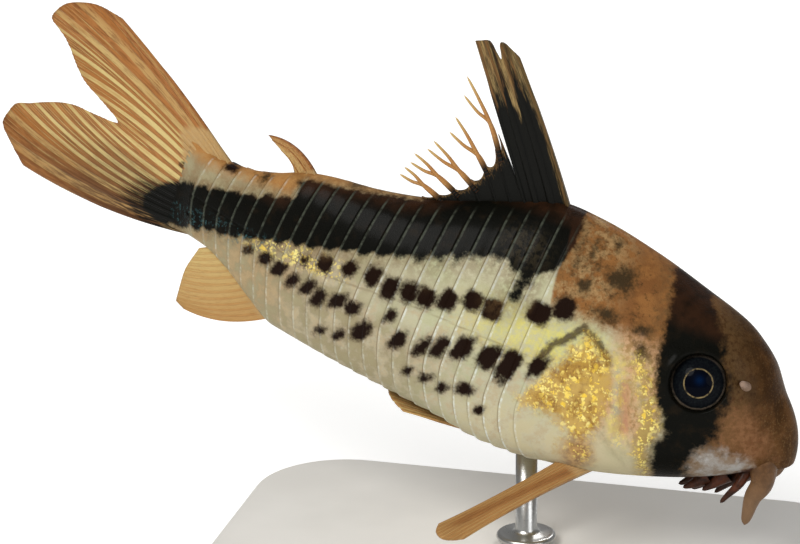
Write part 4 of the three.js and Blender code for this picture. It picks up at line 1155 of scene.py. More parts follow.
# The free rays behind it, as (root, fork, tips).
FREE_RAYS = [
    ((27.2, 12.3), (28.7, 14.6), [(31.5, 17.5), (31.3, 16)]),
    ((27.8, 10.9), (28.9, 12), [(31.4, 14.2), (31.5, 12.9)]),
    ((28.2, 9.4), (29.8, 10.3), [(32.4, 11.8), (32.7, 11)]),
    ((29.4, 8.5), (31.2, 9.3), [(33.5, 10.3), (33.6, 9.5)]),
    ((30.3, 7.6), (32, 8.2), [(33.9, 9), (34.1, 8.3)]),
]
# The tail fin's and the anal fin's tips and bows, by share from the first ray to the last.
CAUDAL_TIP_ALONG = smooth_line([
    (0, 59.5), (0.05, 61.6), (0.1, 64), (0.16, 66.4), (0.27, 63.6), (0.38, 60.6), (0.5, 56.9),
    (0.6, 60.4), (0.7, 63.3), (0.8, 65.6), (0.88, 67.5), (0.93, 67.8), (0.965, 66.9), (1, 64.4),
])
CAUDAL_TIP_HEIGHT = smooth_line([
    (0, 9), (0.05, 8.85), (0.1, 8), (0.16, 6.3), (0.27, 4.7), (0.38, 3.1), (0.5, 1.75),
    (0.6, 1.1), (0.7, 0.1), (0.8, -1.2), (0.88, -2.4), (0.93, -3.5), (0.965, -4.7), (1, -5.8),
])
CAUDAL_BOW = smooth_line([
    (0, 0.55), (0.14, 1), (0.3, 1), (0.44, 0.3), (0.5, 0), (0.6, -0.45), (0.75, -0.8), (0.9, -0.75),
    (1, -0.6),
])
CAUDAL_RAYS = 17
ANAL_TIP_ALONG = smooth_line([(0, 47.1), (0.2, 48), (0.6, 47.9), (1, 47.4)])
ANAL_TIP_HEIGHT = smooth_line([(0, -9.05), (0.2, -8.75), (0.6, -6.4), (1, -4.1)])
ANAL_RAYS = 13
PECTORAL_ROOT = (-14.9, -4.6, -6)
PECTORAL_ALONG = (-6.6, -8, -5.1)
PECTORAL_FACING = (0.1, -0.6, 0.8)
PECTORAL_LENGTH = 11.9
PECTORAL_RAYS = 9
PELVIC_ROOT = (-22.4, -1.5, -7.4)
PELVIC_ALONG = (-1, -0.05, 0.02)
PELVIC_FACING = (0, -0.12, 0.99)
PELVIC_LENGTH = 7.4
PELVIC_RAYS = 6


def build_caudal(props, material):
    rays = []
    for share in shares(CAUDAL_RAYS):
        side = 1 - 2 * share
        rays.append((
            (TAIL_ROOT - 0.9 - 1.2 * side * side, 0.05 + 2.9 * side),
            (float(CAUDAL_TIP_ALONG(share)), float(CAUDAL_TIP_HEIGHT(share))),
            tuple(float(CAUDAL_BOW(share)) * part for part in (-0.3 * side, 0.95)),
        ))

    def wave(across, t):
        return 0.35 * np.sin(across * 9 + 0.5) * t**2 + 0.12 * np.sin(across * 31) * t**2

    def ink(across, t, u, w):
        stripe = smooth_step(1.3, -0.7, outline_distance(u, w, FLANK_STRIPE))
        spot = smooth_step(0.55, 0.15, np.hypot(u + 49.1, w - 2.7))
        streaks = 0.58 * smooth_step(0.6, 0.3, t) * smooth_step(0.55, 0.7, across)
        return np.maximum(np.maximum(stripe * smooth_step(0.5, 0.27, t), streaks), 0.55 * spot)

    def dusk(across, t, u, w):
        lower = 0.55 * smooth_step(0.52, 0.7, across) * smooth_step(0.95, 0.45, t)
        return lower + 0.3 * smooth_step(0.86, 0.97, across)

    def warmth(across, t, u, w):
        edges = 0.75 * smooth_step(0.3, 0.02, across) + 0.6 * smooth_step(0.8, 0.97, across)
        return np.clip(0.12 + edges + 0.2 * smooth_step(0.85, 1, t), 0, 1)

    grid = fan_grid(rays, 60, props.web, props.ridge, (0.35, 0.66), None, wave, 0.24, 0.12)
    return fan_piece(
        "tail_fin", grid, median, material, ink=ink, dusk=dusk, warmth=warmth,
        flesh=lambda across, t, u, w: smooth_step(0.34, 0.14, t),
    )


def build_anal(props, material):
    rays = []
    for share in shares(ANAL_RAYS):
        rays.append((
            (39.9 + 5.8 * share, -6.2 + 3.2 * share),
            (float(ANAL_TIP_ALONG(share)), float(ANAL_TIP_HEIGHT(share))),
            (0, -0.7 * (1 - share)),
        ))

    def wave(across, t):
        return 0.15 * np.sin(across * 7) * t**2

    grid = fan_grid(rays, 36, props.web * 1.6, props.ridge * 0.35, (0.4, 0.75), None, wave, 0.2)
    return fan_piece(
        "anal_fin", grid, median, material, contrast=0.3, warmth=lambda across, t, u, w: 0.8 - 0.5 * across,
        flesh=lambda across, t, u, w: smooth_step(0.25, 0.0, t),
    )


def build_adipose(props, material):
    rays = [
        ((39.8, 5.1), (44.65, 6.7), (-0.1, 0.8)),
        ((40.4, 4.95), (44.2, 6.45), (-0.05, 0.55)),
        ((40.9, 4.6), (43.3, 6.05), (0, 0.2)),
        ((41.3, 4.3), (42.2, 5.6), (0, 0)),
    ]
    grid = fan_grid(rays, 24, props.web * 1.2, props.ridge * 1.6, (2, 2))
    return fan_piece(
        "adipose_fin", grid, median, material, warmth=lambda across, t, u, w: 1 - 0.75 * across,
        flesh=lambda across, t, u, w: smooth_step(0.3, 0.0, t),
    )


def build_pectoral(props, material, side, name):
    """A stout spine along the fin's front edge, with short rays behind it."""
    rays = []
    for share in shares(PECTORAL_RAYS):
        end = abs(share - 0.4) / 0.6
        rays.append((
            (-2.3, -0.75 + 1.95 * share),
            (PECTORAL_LENGTH * (1 - 0.13 * end**2.4), -0.5 + 1.95 * share),
            (0, 0.22 - 0.46 * share),
        ))

    def twist(across, t):
        return 0.25 * np.sin(math.pi * across) * (1 - 0.6 * t) + 0.35 * (across - 0.5) * (t - 0.4)

    def core(across, t, u, w):
        return np.exp(-(((across - 0.82 + 0.55 * t) / 0.17) ** 2)) * smooth_step(1, 0.8, t)

    grid = fan_grid(rays, 44, props.web * 4.2, props.ridge * 0.5, (0.5, 0.8), None, twist, 0.3)
    place = paired(PECTORAL_ROOT, PECTORAL_ALONG, PECTORAL_FACING, side)
    return fan_piece(
        f"pectoral_fin_{name}", grid, place, material, contrast=0.5,
        warmth=lambda across, t, u, w: np.clip(0.7 + 0.4 * core(across, t, u, w), 0, 1),
        dusk=lambda across, t, u, w: 0.3 * core(across, t, u, w),
        flesh=lambda across, t, u, w: 0.85 * smooth_step(0.32, 0.12, t),
    )


def build_pelvic(props, material, side, name):
    rays = []
    for share in shares(PELVIC_RAYS):
        rays.append((
            (-0.8, -0.5 + share),
            (PELVIC_LENGTH * (1 - 0.25 * share**2), -0.9 + 2.6 * share),
            (0, 0),
        ))
    grid = fan_grid(rays, 30, props.web, props.ridge, (0.4, 0.75))
    place = paired(PELVIC_ROOT, PELVIC_ALONG, PELVIC_FACING, side)
    return fan_piece(f"pelvic_fin_{name}", grid, place, material, contrast=0.6, warmth=0.4)


def strand_tree(name, material):
    """Geometry nodes that sweep a tapering round strand along each line of a mesh of edges."""
    tree = bpy.data.node_groups.new(name, "GeometryNodeTree")
    tree.interface.new_socket(name="Lines", in_out="INPUT", socket_type="NodeSocketGeometry")
    for label in ("Root radius", "Tip radius", "Fullness"):
        tree.interface.new_socket(name=label, in_out="INPUT", socket_type="NodeSocketFloat")
    for label in ("Steps", "Sides"):
        tree.interface.new_socket(name=label, in_out="INPUT", socket_type="NodeSocketInt")
    tree.interface.new_socket(name="Strands", in_out="OUTPUT", socket_type="NodeSocketGeometry")
    nodes = Paint(tree)
    given = nodes.add("NodeGroupInput").outputs
    out = nodes.add("NodeGroupOutput").inputs
    curve = nodes.add("GeometryNodeMeshToCurve")
    nodes.feed(curve.inputs["Mesh"], given["Lines"])
    round_line = nodes.add("GeometryNodeCurveSplineType", spline_type="CATMULL_ROM")
    nodes.feed(round_line.inputs["Curve"], curve.outputs["Curve"])
    even = nodes.add("GeometryNodeResampleCurve")
    nodes.feed(even.inputs["Curve"], round_line.outputs["Curve"])
    nodes.feed(even.inputs["Count"], given["Steps"])
    share = nodes.add("GeometryNodeSplineParameter").outputs["Factor"]
    bulge = nodes.add("ShaderNodeMath", operation="POWER")
    nodes.feed(bulge.inputs[0], share)
    nodes.feed(bulge.inputs[1], given["Fullness"])
    taper = nodes.add("ShaderNodeMapRange")
    nodes.feed(taper.inputs["Value"], bulge.outputs[0])
    nodes.feed(taper.inputs["To Min"], given["Root radius"])
    nodes.feed(taper.inputs["To Max"], given["Tip radius"])
    last = nodes.step(share, 0.9, 1.0)
    last.node.interpolation_type = "LINEAR"
    ended = nodes.math("SUBTRACT", 1.0, nodes.math("MULTIPLY", last, last))
    rounded = nodes.math("MAXIMUM", nodes.math("SQRT", ended), 0.15)
    thick = nodes.math("MULTIPLY", taper.outputs["Result"], rounded)
    radius = nodes.add("GeometryNodeSetCurveRadius")
    nodes.feed(radius.inputs["Curve"], even.outputs["Curve"])
    nodes.feed(radius.inputs["Radius"], thick)
    keep = nodes.add("GeometryNodeStoreNamedAttribute", data_type="FLOAT", domain="POINT")
    keep.inputs["Name"].default_value = "tip"
    nodes.feed(keep.inputs["Geometry"], radius.outputs["Curve"])
    nodes.feed(keep.inputs["Value"], share)
    profile = nodes.add("GeometryNodeCurvePrimitiveCircle")
    nodes.feed(profile.inputs["Resolution"], given["Sides"])
    profile.inputs["Radius"].default_value = 1.0
    sweep = nodes.add("GeometryNodeCurveToMesh")
    nodes.feed(sweep.inputs["Curve"], keep.outputs["Geometry"])
    nodes.feed(sweep.inputs["Profile Curve"], profile.outputs["Curve"])
    if "Scale" in sweep.inputs:
        nodes.feed(sweep.inputs["Scale"], thick)
    sweep.inputs["Fill Caps"].default_value = True
    smooth = nodes.add("GeometryNodeSetShadeSmooth")
    nodes.feed(smooth.inputs["Geometry"], sweep.outputs["Mesh"])
    real = nodes.add("GeometryNodeRealizeInstances")
    nodes.feed(real.inputs["Geometry"], smooth.outputs["Geometry"])
    finish = nodes.add("GeometryNodeSetMaterial")
    finish.inputs["Material"].default_value = material
    nodes.feed(finish.inputs["Geometry"], real.outputs["Geometry"])
    nodes.feed(out["Strands"], finish.outputs["Geometry"])
    return tree


def run_tree(name, lines_mesh, tree, values, material):
    """Evaluates a geometry nodes tree on a mesh and returns a plain mesh object."""
    source = bpy.data.objects.new(name + "_lines", lines_mesh)
    bpy.context.scene.collection.objects.link(source)
    modifier = source.modifiers.new("Shape", "NODES")
    modifier.node_group = tree
    for item in tree.interface.items_tree:
        if item.in_out == "INPUT" and item.name in values:
            modifier[item.identifier] = values[item.name]
    source.update_tag()
    bpy.context.view_layer.update()
    evaluated = source.evaluated_get(bpy.context.evaluated_depsgraph_get())
    mesh = bpy.data.meshes.new_from_object(evaluated)
    mesh.name = name
    if not mesh.materials:
        mesh.materials.append(material)
    bpy.data.objects.remove(source, do_unlink=True)
    piece = bpy.data.objects.new(name, mesh)
    bpy.context.scene.collection.objects.link(piece)
    return piece


def strands(name, paths, root, tip, material, steps=16, sides=12, fullness=1.0):
    """Tapering strands along paths of straight-fish points, made by geometry nodes."""
    points = []
    edges = []
    for path in paths:
        edges += [(len(points) + i, len(points) + i + 1) for i in range(len(path) - 1)]
        points += placed(np.array(path, float)).tolist()
    mesh = bpy.data.meshes.new(name + "_lines")
    mesh.from_pydata(points, edges, [])
    tree = strand_tree("Tapered strands " + name, material)
    values = {
        "Root radius": root * MM,
        "Tip radius": tip * MM,
        "Fullness": fullness,
        "Steps": steps,
        "Sides": sides,
    }
    return run_tree(name, mesh, tree, values, material)


def build_dorsal(props, material):
    def wave(across, t):
        return 0.12 * np.sin(across * 5 + 1) * t**2

    def ink(across, t, u, w):
        notch = np.exp(-(((across - 0.5) / 0.09) ** 2)) * smooth_step(0.42, 0.7, t)
        rear = 0.62 * smooth_step(0.5, 0.75, across) * smooth_step(0.45, 0.85, t)
        front = 0.6 * smooth_step(0.26, 0.0, across)
        lead = 0.5 * smooth_step(0.5, 0.95, t) * smooth_step(0.6, 0.4, across)
        streak = 0.24 * smooth_step(0.3, 0.8, t) * np.clip(np.sin(across * 27 + 1.5 * t), 0, 1) ** 2
        return np.clip(1.0 - 0.66 * notch - rear - front - lead - streak, 0.3, 1)

    def reach(ray):
        return 1 - 0.11 * np.exp(-(((ray - 1.5) / 0.22) ** 2))

    grid = fan_grid(DORSAL_BLADE, 60, props.web * 1.4, props.ridge * 1.6, (0.5, 0.8), reach, wave, 0.24)
    blade = fan_piece(
        "dorsal_fin", grid, median, material, ink=ink, warmth=0.5, dusk=0.5,
        murk=lambda across, t, u, w: 0.62 + 0.33 * smooth_step(0.45, 0.05, across),
    )

    def ragged(ray):
        return 1 - 0.16 * np.sin((ray % 1) * math.pi) ** 0.7

    web_grid = fan_grid(DORSAL_WEB, 24, props.web * 1.3, props.ridge * 1.3, (2, 2), ragged)
    web = fan_piece(
        "dorsal_web", web_grid, median, material, dusk=0.7, warmth=0.8, murk=0.4,
        ink=lambda across, t, u, w: 0.95 - 0.55 * smooth_step(0.45, 1, t),
    )
    rays = []
    for root, fork, tips in FREE_RAYS:
        for i, tip in enumerate(tips):
            side = 0.1 * (1 if i else -1)
            middle = ((fork[0] + tip[0]) / 2, (fork[1] + tip[1]) / 2 - side)
            rays.append([(-a, 0.04 * (i * 2 - 1), z) for a, z in (root, fork, middle, tip)])
    free = strands("dorsal_free_rays", rays, 0.2, 0.08, ray_material(props), 24, 10, 1.3)
    return blade, web, free


def ray_material(props):
    """Free fin rays: amber bone with brown joints."""
    material, paint, shader = new_material("Free fin rays", Coat_Weight=0.05, IOR=1.2)
    along = paint.attribute("tip")
    patches = paint.noise(1.6, 3, 0.6)
    rings = paint.math("FRACT", paint.times(along, 22.0))
    tone = paint.mix(patches, colour(props.web_tan), colour(props.ray_amber))
    tone = paint.mix(paint.step(along, 0.35, 0.1), tone, colour(props.fin_ink))
    tone = paint.mix(paint.step(rings, 0.2, 0.0, 0.0, 0.4), tone, colour(props.ray_brown))
    tone = paint.mix(paint.step(along, 0.6, 1.0, 0.0, 0.5), tone, colour(props.web_pale))
    paint.feed(shader.inputs["Base Color"], tone)
    roughen(paint, shader, patches, 0.2, 0.35)
    bump(paint, shader, rings, 0.02, 0.4)
    return material


def build_eye(radius, material, side, name):
    """A glass eye: a flattened ball that fills its socket, its rings kept as an attribute."""
    centre, axes = eye_frame(side)
    rings = EYE_RINGS
    count = EYE_STEPS
    latitude = np.linspace(0, 1, rings + 1)[1:] * math.pi * EYE_WRAP
    turn = np.arange(count) * 2 * math.pi / count
    reach = np.sin(latitude)[:, None] * radius
    depth = np.cos(latitude)[:, None] * EYE_DEPTH
    local = np.stack([
        reach * np.cos(turn)[None],
        reach * np.sin(turn)[None],
        depth + 0 * turn[None],
    ], axis=-1)
    points = np.concatenate([
        (local @ axes).reshape(-1, 3) + centre,
        (centre + axes[2] * EYE_DEPTH)[None],
        (centre - axes[2] * EYE_BACK)[None],
    ])
    front = latitude < math.pi / 2
    share = np.where(front[:, None], reach / radius, 1.0) + 0 * turn[None]
    low = 0.35 + 0.65 * smooth_step(0.6, -0.5, np.sin(turn))[None] + 0 * reach
    spot = np.hypot(local[..., 0], local[..., 1] - 0.25) / radius
    glow = np.exp(-((spot / 0.15) ** 2))
    quads = ring_faces(rings, count)
    caps = pole_caps(rings, count)
    where = placed(points)
    if outward(where, quads[:, :3])[0, 0] != quads[0, 0]:
        quads = quads[:, ::-1]
        caps = caps[:, ::-1]
    attributes = {
        "ring": np.concatenate([share.ravel(), [0, 1]]),
        "low": np.concatenate([low.ravel(), [0, 0]]),
        "glow": np.concatenate([glow.ravel(), [0.5, 0]]),
    }
    return mesh_piece(f"eyeball_{name}", where, [*quads, *caps], material, attributes)


# Barbels and chin flaps on the right side, each from its root, in the straight fish.
UPPER_BARBEL = [
    (-2.9, -0.9, -0.6), (-2.0, -1.5, -1.9), (-1.55, -2.05, -3.2), (-1.8, -2.5, -4.3),
    (-1.75, -2.8, -5.6), (-1.7, -2.9, -6.4),
]
LOWER_BARBEL = [(-2.9, -1.6, -2.9), (-3.1, -2.2, -3.9), (-3.6, -2.5, -4.9), (-3.9, -2.6, -5.6)]
CHIN_FLAP = [(-3.1, -0.6, -3.3), (-3.9, -0.85, -4.4), (-4.7, -1.05, -5.7)]
CHIN_FRINGE = [
    [(-4.4, -1.3, -3.9), (-4.9, -1.75, -4.7), (-5.5, -2.1, -5.4)],
    [(-4.8, -0.7, -4.1), (-5.5, -1.1, -5), (-6.3, -1.4, -5.9)],
    [(-5.6, -1.4, -4.5), (-6.2, -1.75, -5.2), (-6.9, -2, -5.8)],
    [(-5.9, -0.5, -4.6), (-6.6, -0.8, -5.4), (-7.4, -1, -6.1)],
]
MOUTH_FRONT = 1.55
MOUTH_REAR = 3.6
MOUTH_HALF = 1.75
MOUTH_HEIGHT = -3.15
LIP_RADIUS = 0.38
LOWER_LIP_BACK = 1.15
LOWER_LIP_DROP = 0.55
# Radii of each kind of strand at its root and at its tip.
UPPER_BARBEL_GIRTH = (1.5, 0.3)
LOWER_BARBEL_GIRTH = (0.48, 0.14)
CHIN_FLAP_GIRTH = (0.8, 0.12)
NOSTRIL_GIRTH = (0.42, 0.2)
# The ends of the nostril's flap, as (station, height, lift off the skin).
NOSTRIL_FOOT = (4.75, 3.9, -0.4)
NOSTRIL_TIP = (5.05, 4.0, 0.8)


def skin_spot(station, height, lift):
    return hull_point(station, flank_turn(station, height), lift)


def mirrored(path, side):
    return [(x, y * side, z) for x, y, z in path]


def mouth_arc(front, height, lift, spread=1.0):
    arc = []
    for i in range(9):
        across = (i / 4 - 1) * spread
        station = front + (MOUTH_REAR - front) * across**2 * 0.75
        arc.append((-station, MOUTH_HALF * across, height + lift * (1 - across**2)))
    return arc


# The stand.
BASE_LENGTH = 46.0
BASE_WIDTH = 27.0
BASE_HEIGHT = 3.0
BASE_CORNER = 7.0
BASE_EDGE = 0.5
BASE_CORNER_STEPS = 16
ROD_RADIUS = 0.8
ROD_STEPS = 48
QUARTER_TURN = [math.pi / 2 * i / 6 for i in range(7)]
FLANGE_FOOT = 2.05
FLANGE_RADIUS = 1.9
FLANGE_LIFT = 0.25
FLANGE_EDGE = 0.3
# The post above its flange, as (radius, height over the foot).
ROD_NECK = [(1.1, 0.6), (0.92, 0.72), (ROD_RADIUS, 0.95)]


def build_base(material):
    """A round-cornered slab with softly rounded edges, on the same outline as the solid."""
    foot = [(BASE_EDGE * (1 - math.sin(a)), BASE_EDGE * (1 - math.cos(a))) for a in QUARTER_TURN]
    crown = [(inset, BASE_HEIGHT - rise) for inset, rise in reversed(foot)]
    rows = []
    for inset, height in foot + crown:
        row = []
        corner = BASE_CORNER - inset
        for k, (sign_x, sign_y) in enumerate([(1, 1), (-1, 1), (-1, -1), (1, -1)]):
            middle_x = sign_x * (BASE_LENGTH / 2 - BASE_CORNER)
            middle_y = sign_y * (BASE_WIDTH / 2 - BASE_CORNER)
            for j in range(BASE_CORNER_STEPS + 1):
                angle = math.pi / 2 * (k + j / BASE_CORNER_STEPS)
                row.append((middle_x + corner * math.cos(angle), middle_y + corner * math.sin(angle), height))
        rows.append(row)
    where = np.array(rows).reshape(-1, 3) * MM
    return mesh_piece("stand_plinth", where, closed_stack(len(rows), len(rows[0])), material)


def build_rod(material):
    """The rod and its foot, turned about an upright axis under the belly."""
    low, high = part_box("stand_rod")
    middle = ((low + high) / 2) / MM
    foot = low[2] / MM
    top = high[2] / MM
    profile = [(FLANGE_FOOT, foot)]
    for angle in QUARTER_TURN:
        rise = FLANGE_LIFT + FLANGE_EDGE * math.sin(angle)
        profile.append((FLANGE_RADIUS + FLANGE_EDGE * math.cos(angle), foot + rise))
    profile += [(radius, foot + rise) for radius, rise in ROD_NECK]
    profile.append((ROD_RADIUS, top))
    turn = np.arange(ROD_STEPS) * 2 * math.pi / ROD_STEPS
    rows = []
    for radius, height in profile:
        across = middle[0] + radius * np.cos(turn)
        along = middle[1] + radius * np.sin(turn)
        rows.append(np.stack([across, along, np.full(ROD_STEPS, height)], axis=1))
    points = np.array(rows).reshape(-1, 3) * MM
    return mesh_piece("stand_post", points, closed_stack(len(rows), ROD_STEPS), material)


# The stage, in metres and watts. A light is (name, direction, distance, size, power, tint).
FLOOR_REACH = 8.0
CLIP_NEAR = 0.01
CLIP_FAR = 20
SKY_STRENGTH = 0.22
LIGHTS = [
    ("Key", (-0.35, -1.0, 1.0), 0.7, 0.35, 3.8, (1.0, 0.99, 0.96)),
    ("Fill", (1.2, -0.8, 0.4), 0.7, 0.4, 1.0, (0.97, 0.98, 1.0)),
    ("Rim", (0.2, 1.0, 0.9), 0.6, 0.25, 1.2, (1.0, 1.0, 1.0)),
]


def area_light(name, target, direction, distance, size, power, tint):
    data = bpy.data.lights.new(name, "AREA")
    data.shape = "DISK"
    data.size = size
    data.energy = power
    data.color = tint
    light = bpy.data.objects.new(name, data)
    bpy.context.scene.collection.objects.link(light)
    toward = Vector(direction).normalized()
    light.location = Vector(target) + toward * distance
    light.rotation_mode = "QUATERNION"
    light.rotation_quaternion = toward.to_track_quat("Z", "Y")


def float_property(name, description, default, **more):
    return bpy.props.FloatProperty(name=name, description=description, default=default, **more)


def colour_property(name, default):
    """A colour in the scene's linear values."""
    return bpy.props.FloatVectorProperty(
        name=name, description=f"Colour of the {name.lower()}", default=default, subtype="COLOR", min=0, max=1
    )


class CatfishBodyProperties(bpy.types.PropertyGroup):
    scute_lift: float_property(
        "Scute lift", "Height of a scute's rear edge over the next, in millimetres", 0.13
    )
    skin_steps: bpy.props.IntProperty(name="Skin steps", description="Points round the body", default=252)
    wetness: float_property("Wetness", "Weight of the clear wet coat", 0.16, subtype="FACTOR")
    eye_radius: float_property("Eye radius", "Radius of the eyeball, in millimetres", 2.1)
    cream: colour_property("Flank cream", (0.41, 0.41, 0.25))
    pale_flank: colour_property("Pale flank", (0.46, 0.43, 0.29))
    rear_flank: colour_property("Rear flank", (0.31, 0.27, 0.16))
    rear_tan: colour_property("Rear flank patches", (0.27, 0.2, 0.11))
    flank_tan: colour_property("Tan blotches", (0.42, 0.31, 0.17))
    belly: colour_property("Belly", (0.49, 0.42, 0.265))
    pearl: colour_property("Pearly sheen", (0.47, 0.54, 0.46))
    yellow: colour_property("Yellow flank", (0.6, 0.54, 0.13))
    back_tan: colour_property("Back", (0.24, 0.105, 0.032))
    back_rust: colour_property("Back patches", (0.17, 0.07, 0.022))
    back_olive: colour_property("Olive patches", (0.33, 0.2, 0.085))
    top_tan: colour_property("Top of the tail stem", (0.4, 0.23, 0.08))
    top_rust: colour_property("Rust on the tail stem", (0.33, 0.13, 0.035))
    smoke: colour_property("Smoky marks", (0.03, 0.02, 0.009))
    # Painted highlight on the scutes' rear rims.
    plate_rim_highlight: colour_property("Scute rims", (0.6, 0.63, 0.56))
    # Painted shade in the crevices between scutes.
    plate_crack_shade: colour_property("Scute cracks", (0.12, 0.08, 0.035))
    halo: colour_property("Shade round the black", (0.13, 0.075, 0.03))
    arch_brown: colour_property("Shoulder arch", (0.045, 0.025, 0.008))
    crest: colour_property("Shoulder crest", (0.6, 0.48, 0.16))
    gold_deep: colour_property("Deep gold", (0.2, 0.085, 0.012))
    gold: colour_property("Gold", (0.38, 0.21, 0.035))
    gold_pale: colour_property("Pale gold", (0.52, 0.35, 0.1))
    flake: colour_property("Bright flakes", (0.82, 0.56, 0.06))
    flake_pale: colour_property("Pale flakes", (0.94, 0.82, 0.28))
    gill_pink: colour_property("Gill slit", (0.36, 0.13, 0.09))
    gill_blush: colour_property("Blush by the gill", (0.5, 0.3, 0.16))
    snout_olive: colour_property("Snout", (0.05, 0.022, 0.006))
    snout_brown: colour_property("Snout patches", (0.095, 0.042, 0.013))
    singe: colour_property("Singe before the bar", (0.028, 0.012, 0.004))
    snout_fleck: colour_property("Snout flecks", (0.16, 0.09, 0.035))
    cheek: colour_property("Cheek", (0.19, 0.09, 0.04))
    cheek_rose: colour_property("Cheek patches", (0.13, 0.055, 0.022))
    lip_blue: colour_property("Lip", (0.38, 0.37, 0.35))
    root_tan: colour_property("Root of the pectoral fin", (0.42, 0.24, 0.09))
    # Painted shade in the mouth's gap.
    mouth_gap_shade: colour_property("Mouth line", (0.05, 0.016, 0.008))
    gill_tan: colour_property("Tan by the gill", (0.3, 0.17, 0.07))
    lip_tan: colour_property("Lip patches", (0.24, 0.18, 0.13))
    spot_brown: colour_property("Spots", (0.01, 0.004, 0.002))
    spot_edge: colour_property("Edges of the spots", (0.11, 0.045, 0.018))
    ink: colour_property("Black markings", (0.003, 0.003, 0.002))
    ink_sheen: colour_property("Sheen in the black", (0.009, 0.006, 0.003))
    ink_smoky: colour_property("Smoke in the black", (0.022, 0.017, 0.009))
    ink_rust: colour_property("Rust in the black", (0.035, 0.014, 0.006))
    # Painted highlight on the scute rims within the black.
    ink_rim_highlight: colour_property("Scute rims in the black", (0.052, 0.058, 0.043))
    teal: colour_property("Teal glints", (0.05, 0.13, 0.14))


class CatfishFinProperties(bpy.types.PropertyGroup):
    web: float_property("Web", "Thickness of the web between rays, in millimetres", 0.14)
    ridge: float_property("Ridge", "How much thicker a ray is than the web, in millimetres", 0.24)
    web_opacity: float_property(
        "Web opacity", "How much the web hides what is behind it", 0.93, subtype="FACTOR"
    )
    web_pale: colour_property("Pale web", (0.62, 0.5, 0.21))
    web_tan: colour_property("Tan web", (0.42, 0.24, 0.08))
    web_warm: colour_property("Warm web", (0.33, 0.125, 0.03))
    ray_amber: colour_property("Amber rays", (0.34, 0.13, 0.038))
    ray_brown: colour_property("Brown rays", (0.17, 0.06, 0.018))
    ray_dusk: colour_property("Dusky rays", (0.05, 0.022, 0.012))
    flesh: colour_property("Flesh at a fin's root", (0.4, 0.28, 0.14))
    fin_ink: colour_property("Black fin", (0.004, 0.004, 0.003))
    fin_olive: colour_property("Murky fin", (0.085, 0.058, 0.022))


class CatfishFaceProperties(bpy.types.PropertyGroup):
    pupil_share: float_property("Pupil", "The pupil's radius as a share of the eye's", 0.5, subtype="FACTOR")
    pupil: colour_property("Pupil", (0.001, 0.0015, 0.004))
    pupil_glow: colour_property("Glow in the pupil", (0.001, 0.007, 0.028))
    iris: colour_property("Iris", (0.003, 0.0035, 0.005))
    iris_teal: colour_property("Iris fibres", (0.006, 0.008, 0.009))
    iris_ring: colour_property("Ring round the pupil", (0.2, 0.15, 0.07))
    orbit: colour_property("Edge of the eye", (0.16, 0.125, 0.09))
    barbel: colour_property("Barbels", (0.13, 0.062, 0.024))
    barbel_patch: colour_property("Barbel patches", (0.075, 0.034, 0.012))
    barbel_tip: colour_property("Barbel tips", (0.2, 0.12, 0.065))
    lips: colour_property("Lips", (0.09, 0.025, 0.01))
    lips_dark: colour_property("Lip patches", (0.025, 0.008, 0.003))
    flap: colour_property("Nostril flap", (0.28, 0.19, 0.14))
    flap_shade: colour_property("Nostril shade", (0.16, 0.1, 0.06))


class CatfishStandProperties(bpy.types.PropertyGroup):
    lacquer: colour_property("Lacquer", (0.78, 0.76, 0.72))
    lacquer_shade: colour_property("Lacquer shade", (0.72, 0.7, 0.66))
    steel: colour_property("Steel", (0.62, 0.62, 0.6))
    steel_shade: colour_property("Steel shade", (0.42, 0.42, 0.41))
    floor: colour_property("Floor", (0.88, 0.88, 0.87))
    floor_shade: colour_property("Floor shade", (0.84, 0.84, 0.83))


class CatfishStage(bpy.types.Operator):
    """Set up the floor, the lights and the camera"""

    bl_idname = "catfish.stage"
    bl_label = "Stage"

    def execute(self, context):
        props = context.scene.catfish_stand
        scene = context.scene
        scene.view_settings.view_transform = "Standard"
        target = placed(CAMERA_TARGET)
        back = camera_axes()[0]
        data = bpy.data.cameras.new("Camera")
        data.lens = LENS
        data.sensor_width = SENSOR
        data.clip_start = CLIP_NEAR
        data.clip_end = CLIP_FAR
        camera = bpy.data.objects.new("Camera", data)
        scene.collection.objects.link(camera)
        camera.location = Vector(target + back * CAMERA_DISTANCE * MM)
        camera.rotation_mode = "QUATERNION"
        camera.rotation_quaternion = Vector(back).to_track_quat("Z", "Y")
        scene.camera = camera
        corners = FLOOR_REACH * np.array([(-1, -1, 0), (1, -1, 0), (1, 1, 0), (-1, 1, 0)])
        floor = mesh_piece("floor", corners, [(0, 1, 2, 3)], floor_material(props))
        for name, *light in LIGHTS:
            area_light(name, target, *light)
        world = bpy.data.worlds.new("Studio")
        world.use_nodes = True
        sky = world.node_tree.nodes["Background"]
        sky.inputs["Color"].default_value = (1.0, 1.0, 1.0, 1.0)
        sky.inputs["Strength"].default_value = SKY_STRENGTH
        scene.world = world
        return {"FINISHED"}


class CatfishSkin(bpy.types.Operator):
    """Cover the head, torso and tail stem with one skin of plates and markings"""

    bl_idname = "catfish.skin"
    bl_label = "Skin"

    def execute(self, context):
        skin = build_skin(context.scene.catfish_body)
        settle(skin, "skin", "head", "torso", "tail_stem")
        return {"FINISHED"}


class CatfishMedianFins(bpy.types.Operator):
    """Make the dorsal, adipose, tail and anal fins"""

    bl_idname = "catfish.median_fins"
    bl_label = "Median fins"

    def execute(self, context):
        props = context.scene.catfish_fins
        material = fin_material(props)
        settle(build_caudal(props, material), "fins", "fin_caudal")
        settle(build_anal(props, material), "fins", "fin_anal")
        settle(build_adipose(props, material), "fins", "fin_adipose")
        blade, web, free = build_dorsal(props, material)
        settle(blade, "fins", "fin_dorsal")
        settle(web, "fins")
        settle(free, "fins")
        return {"FINISHED"}


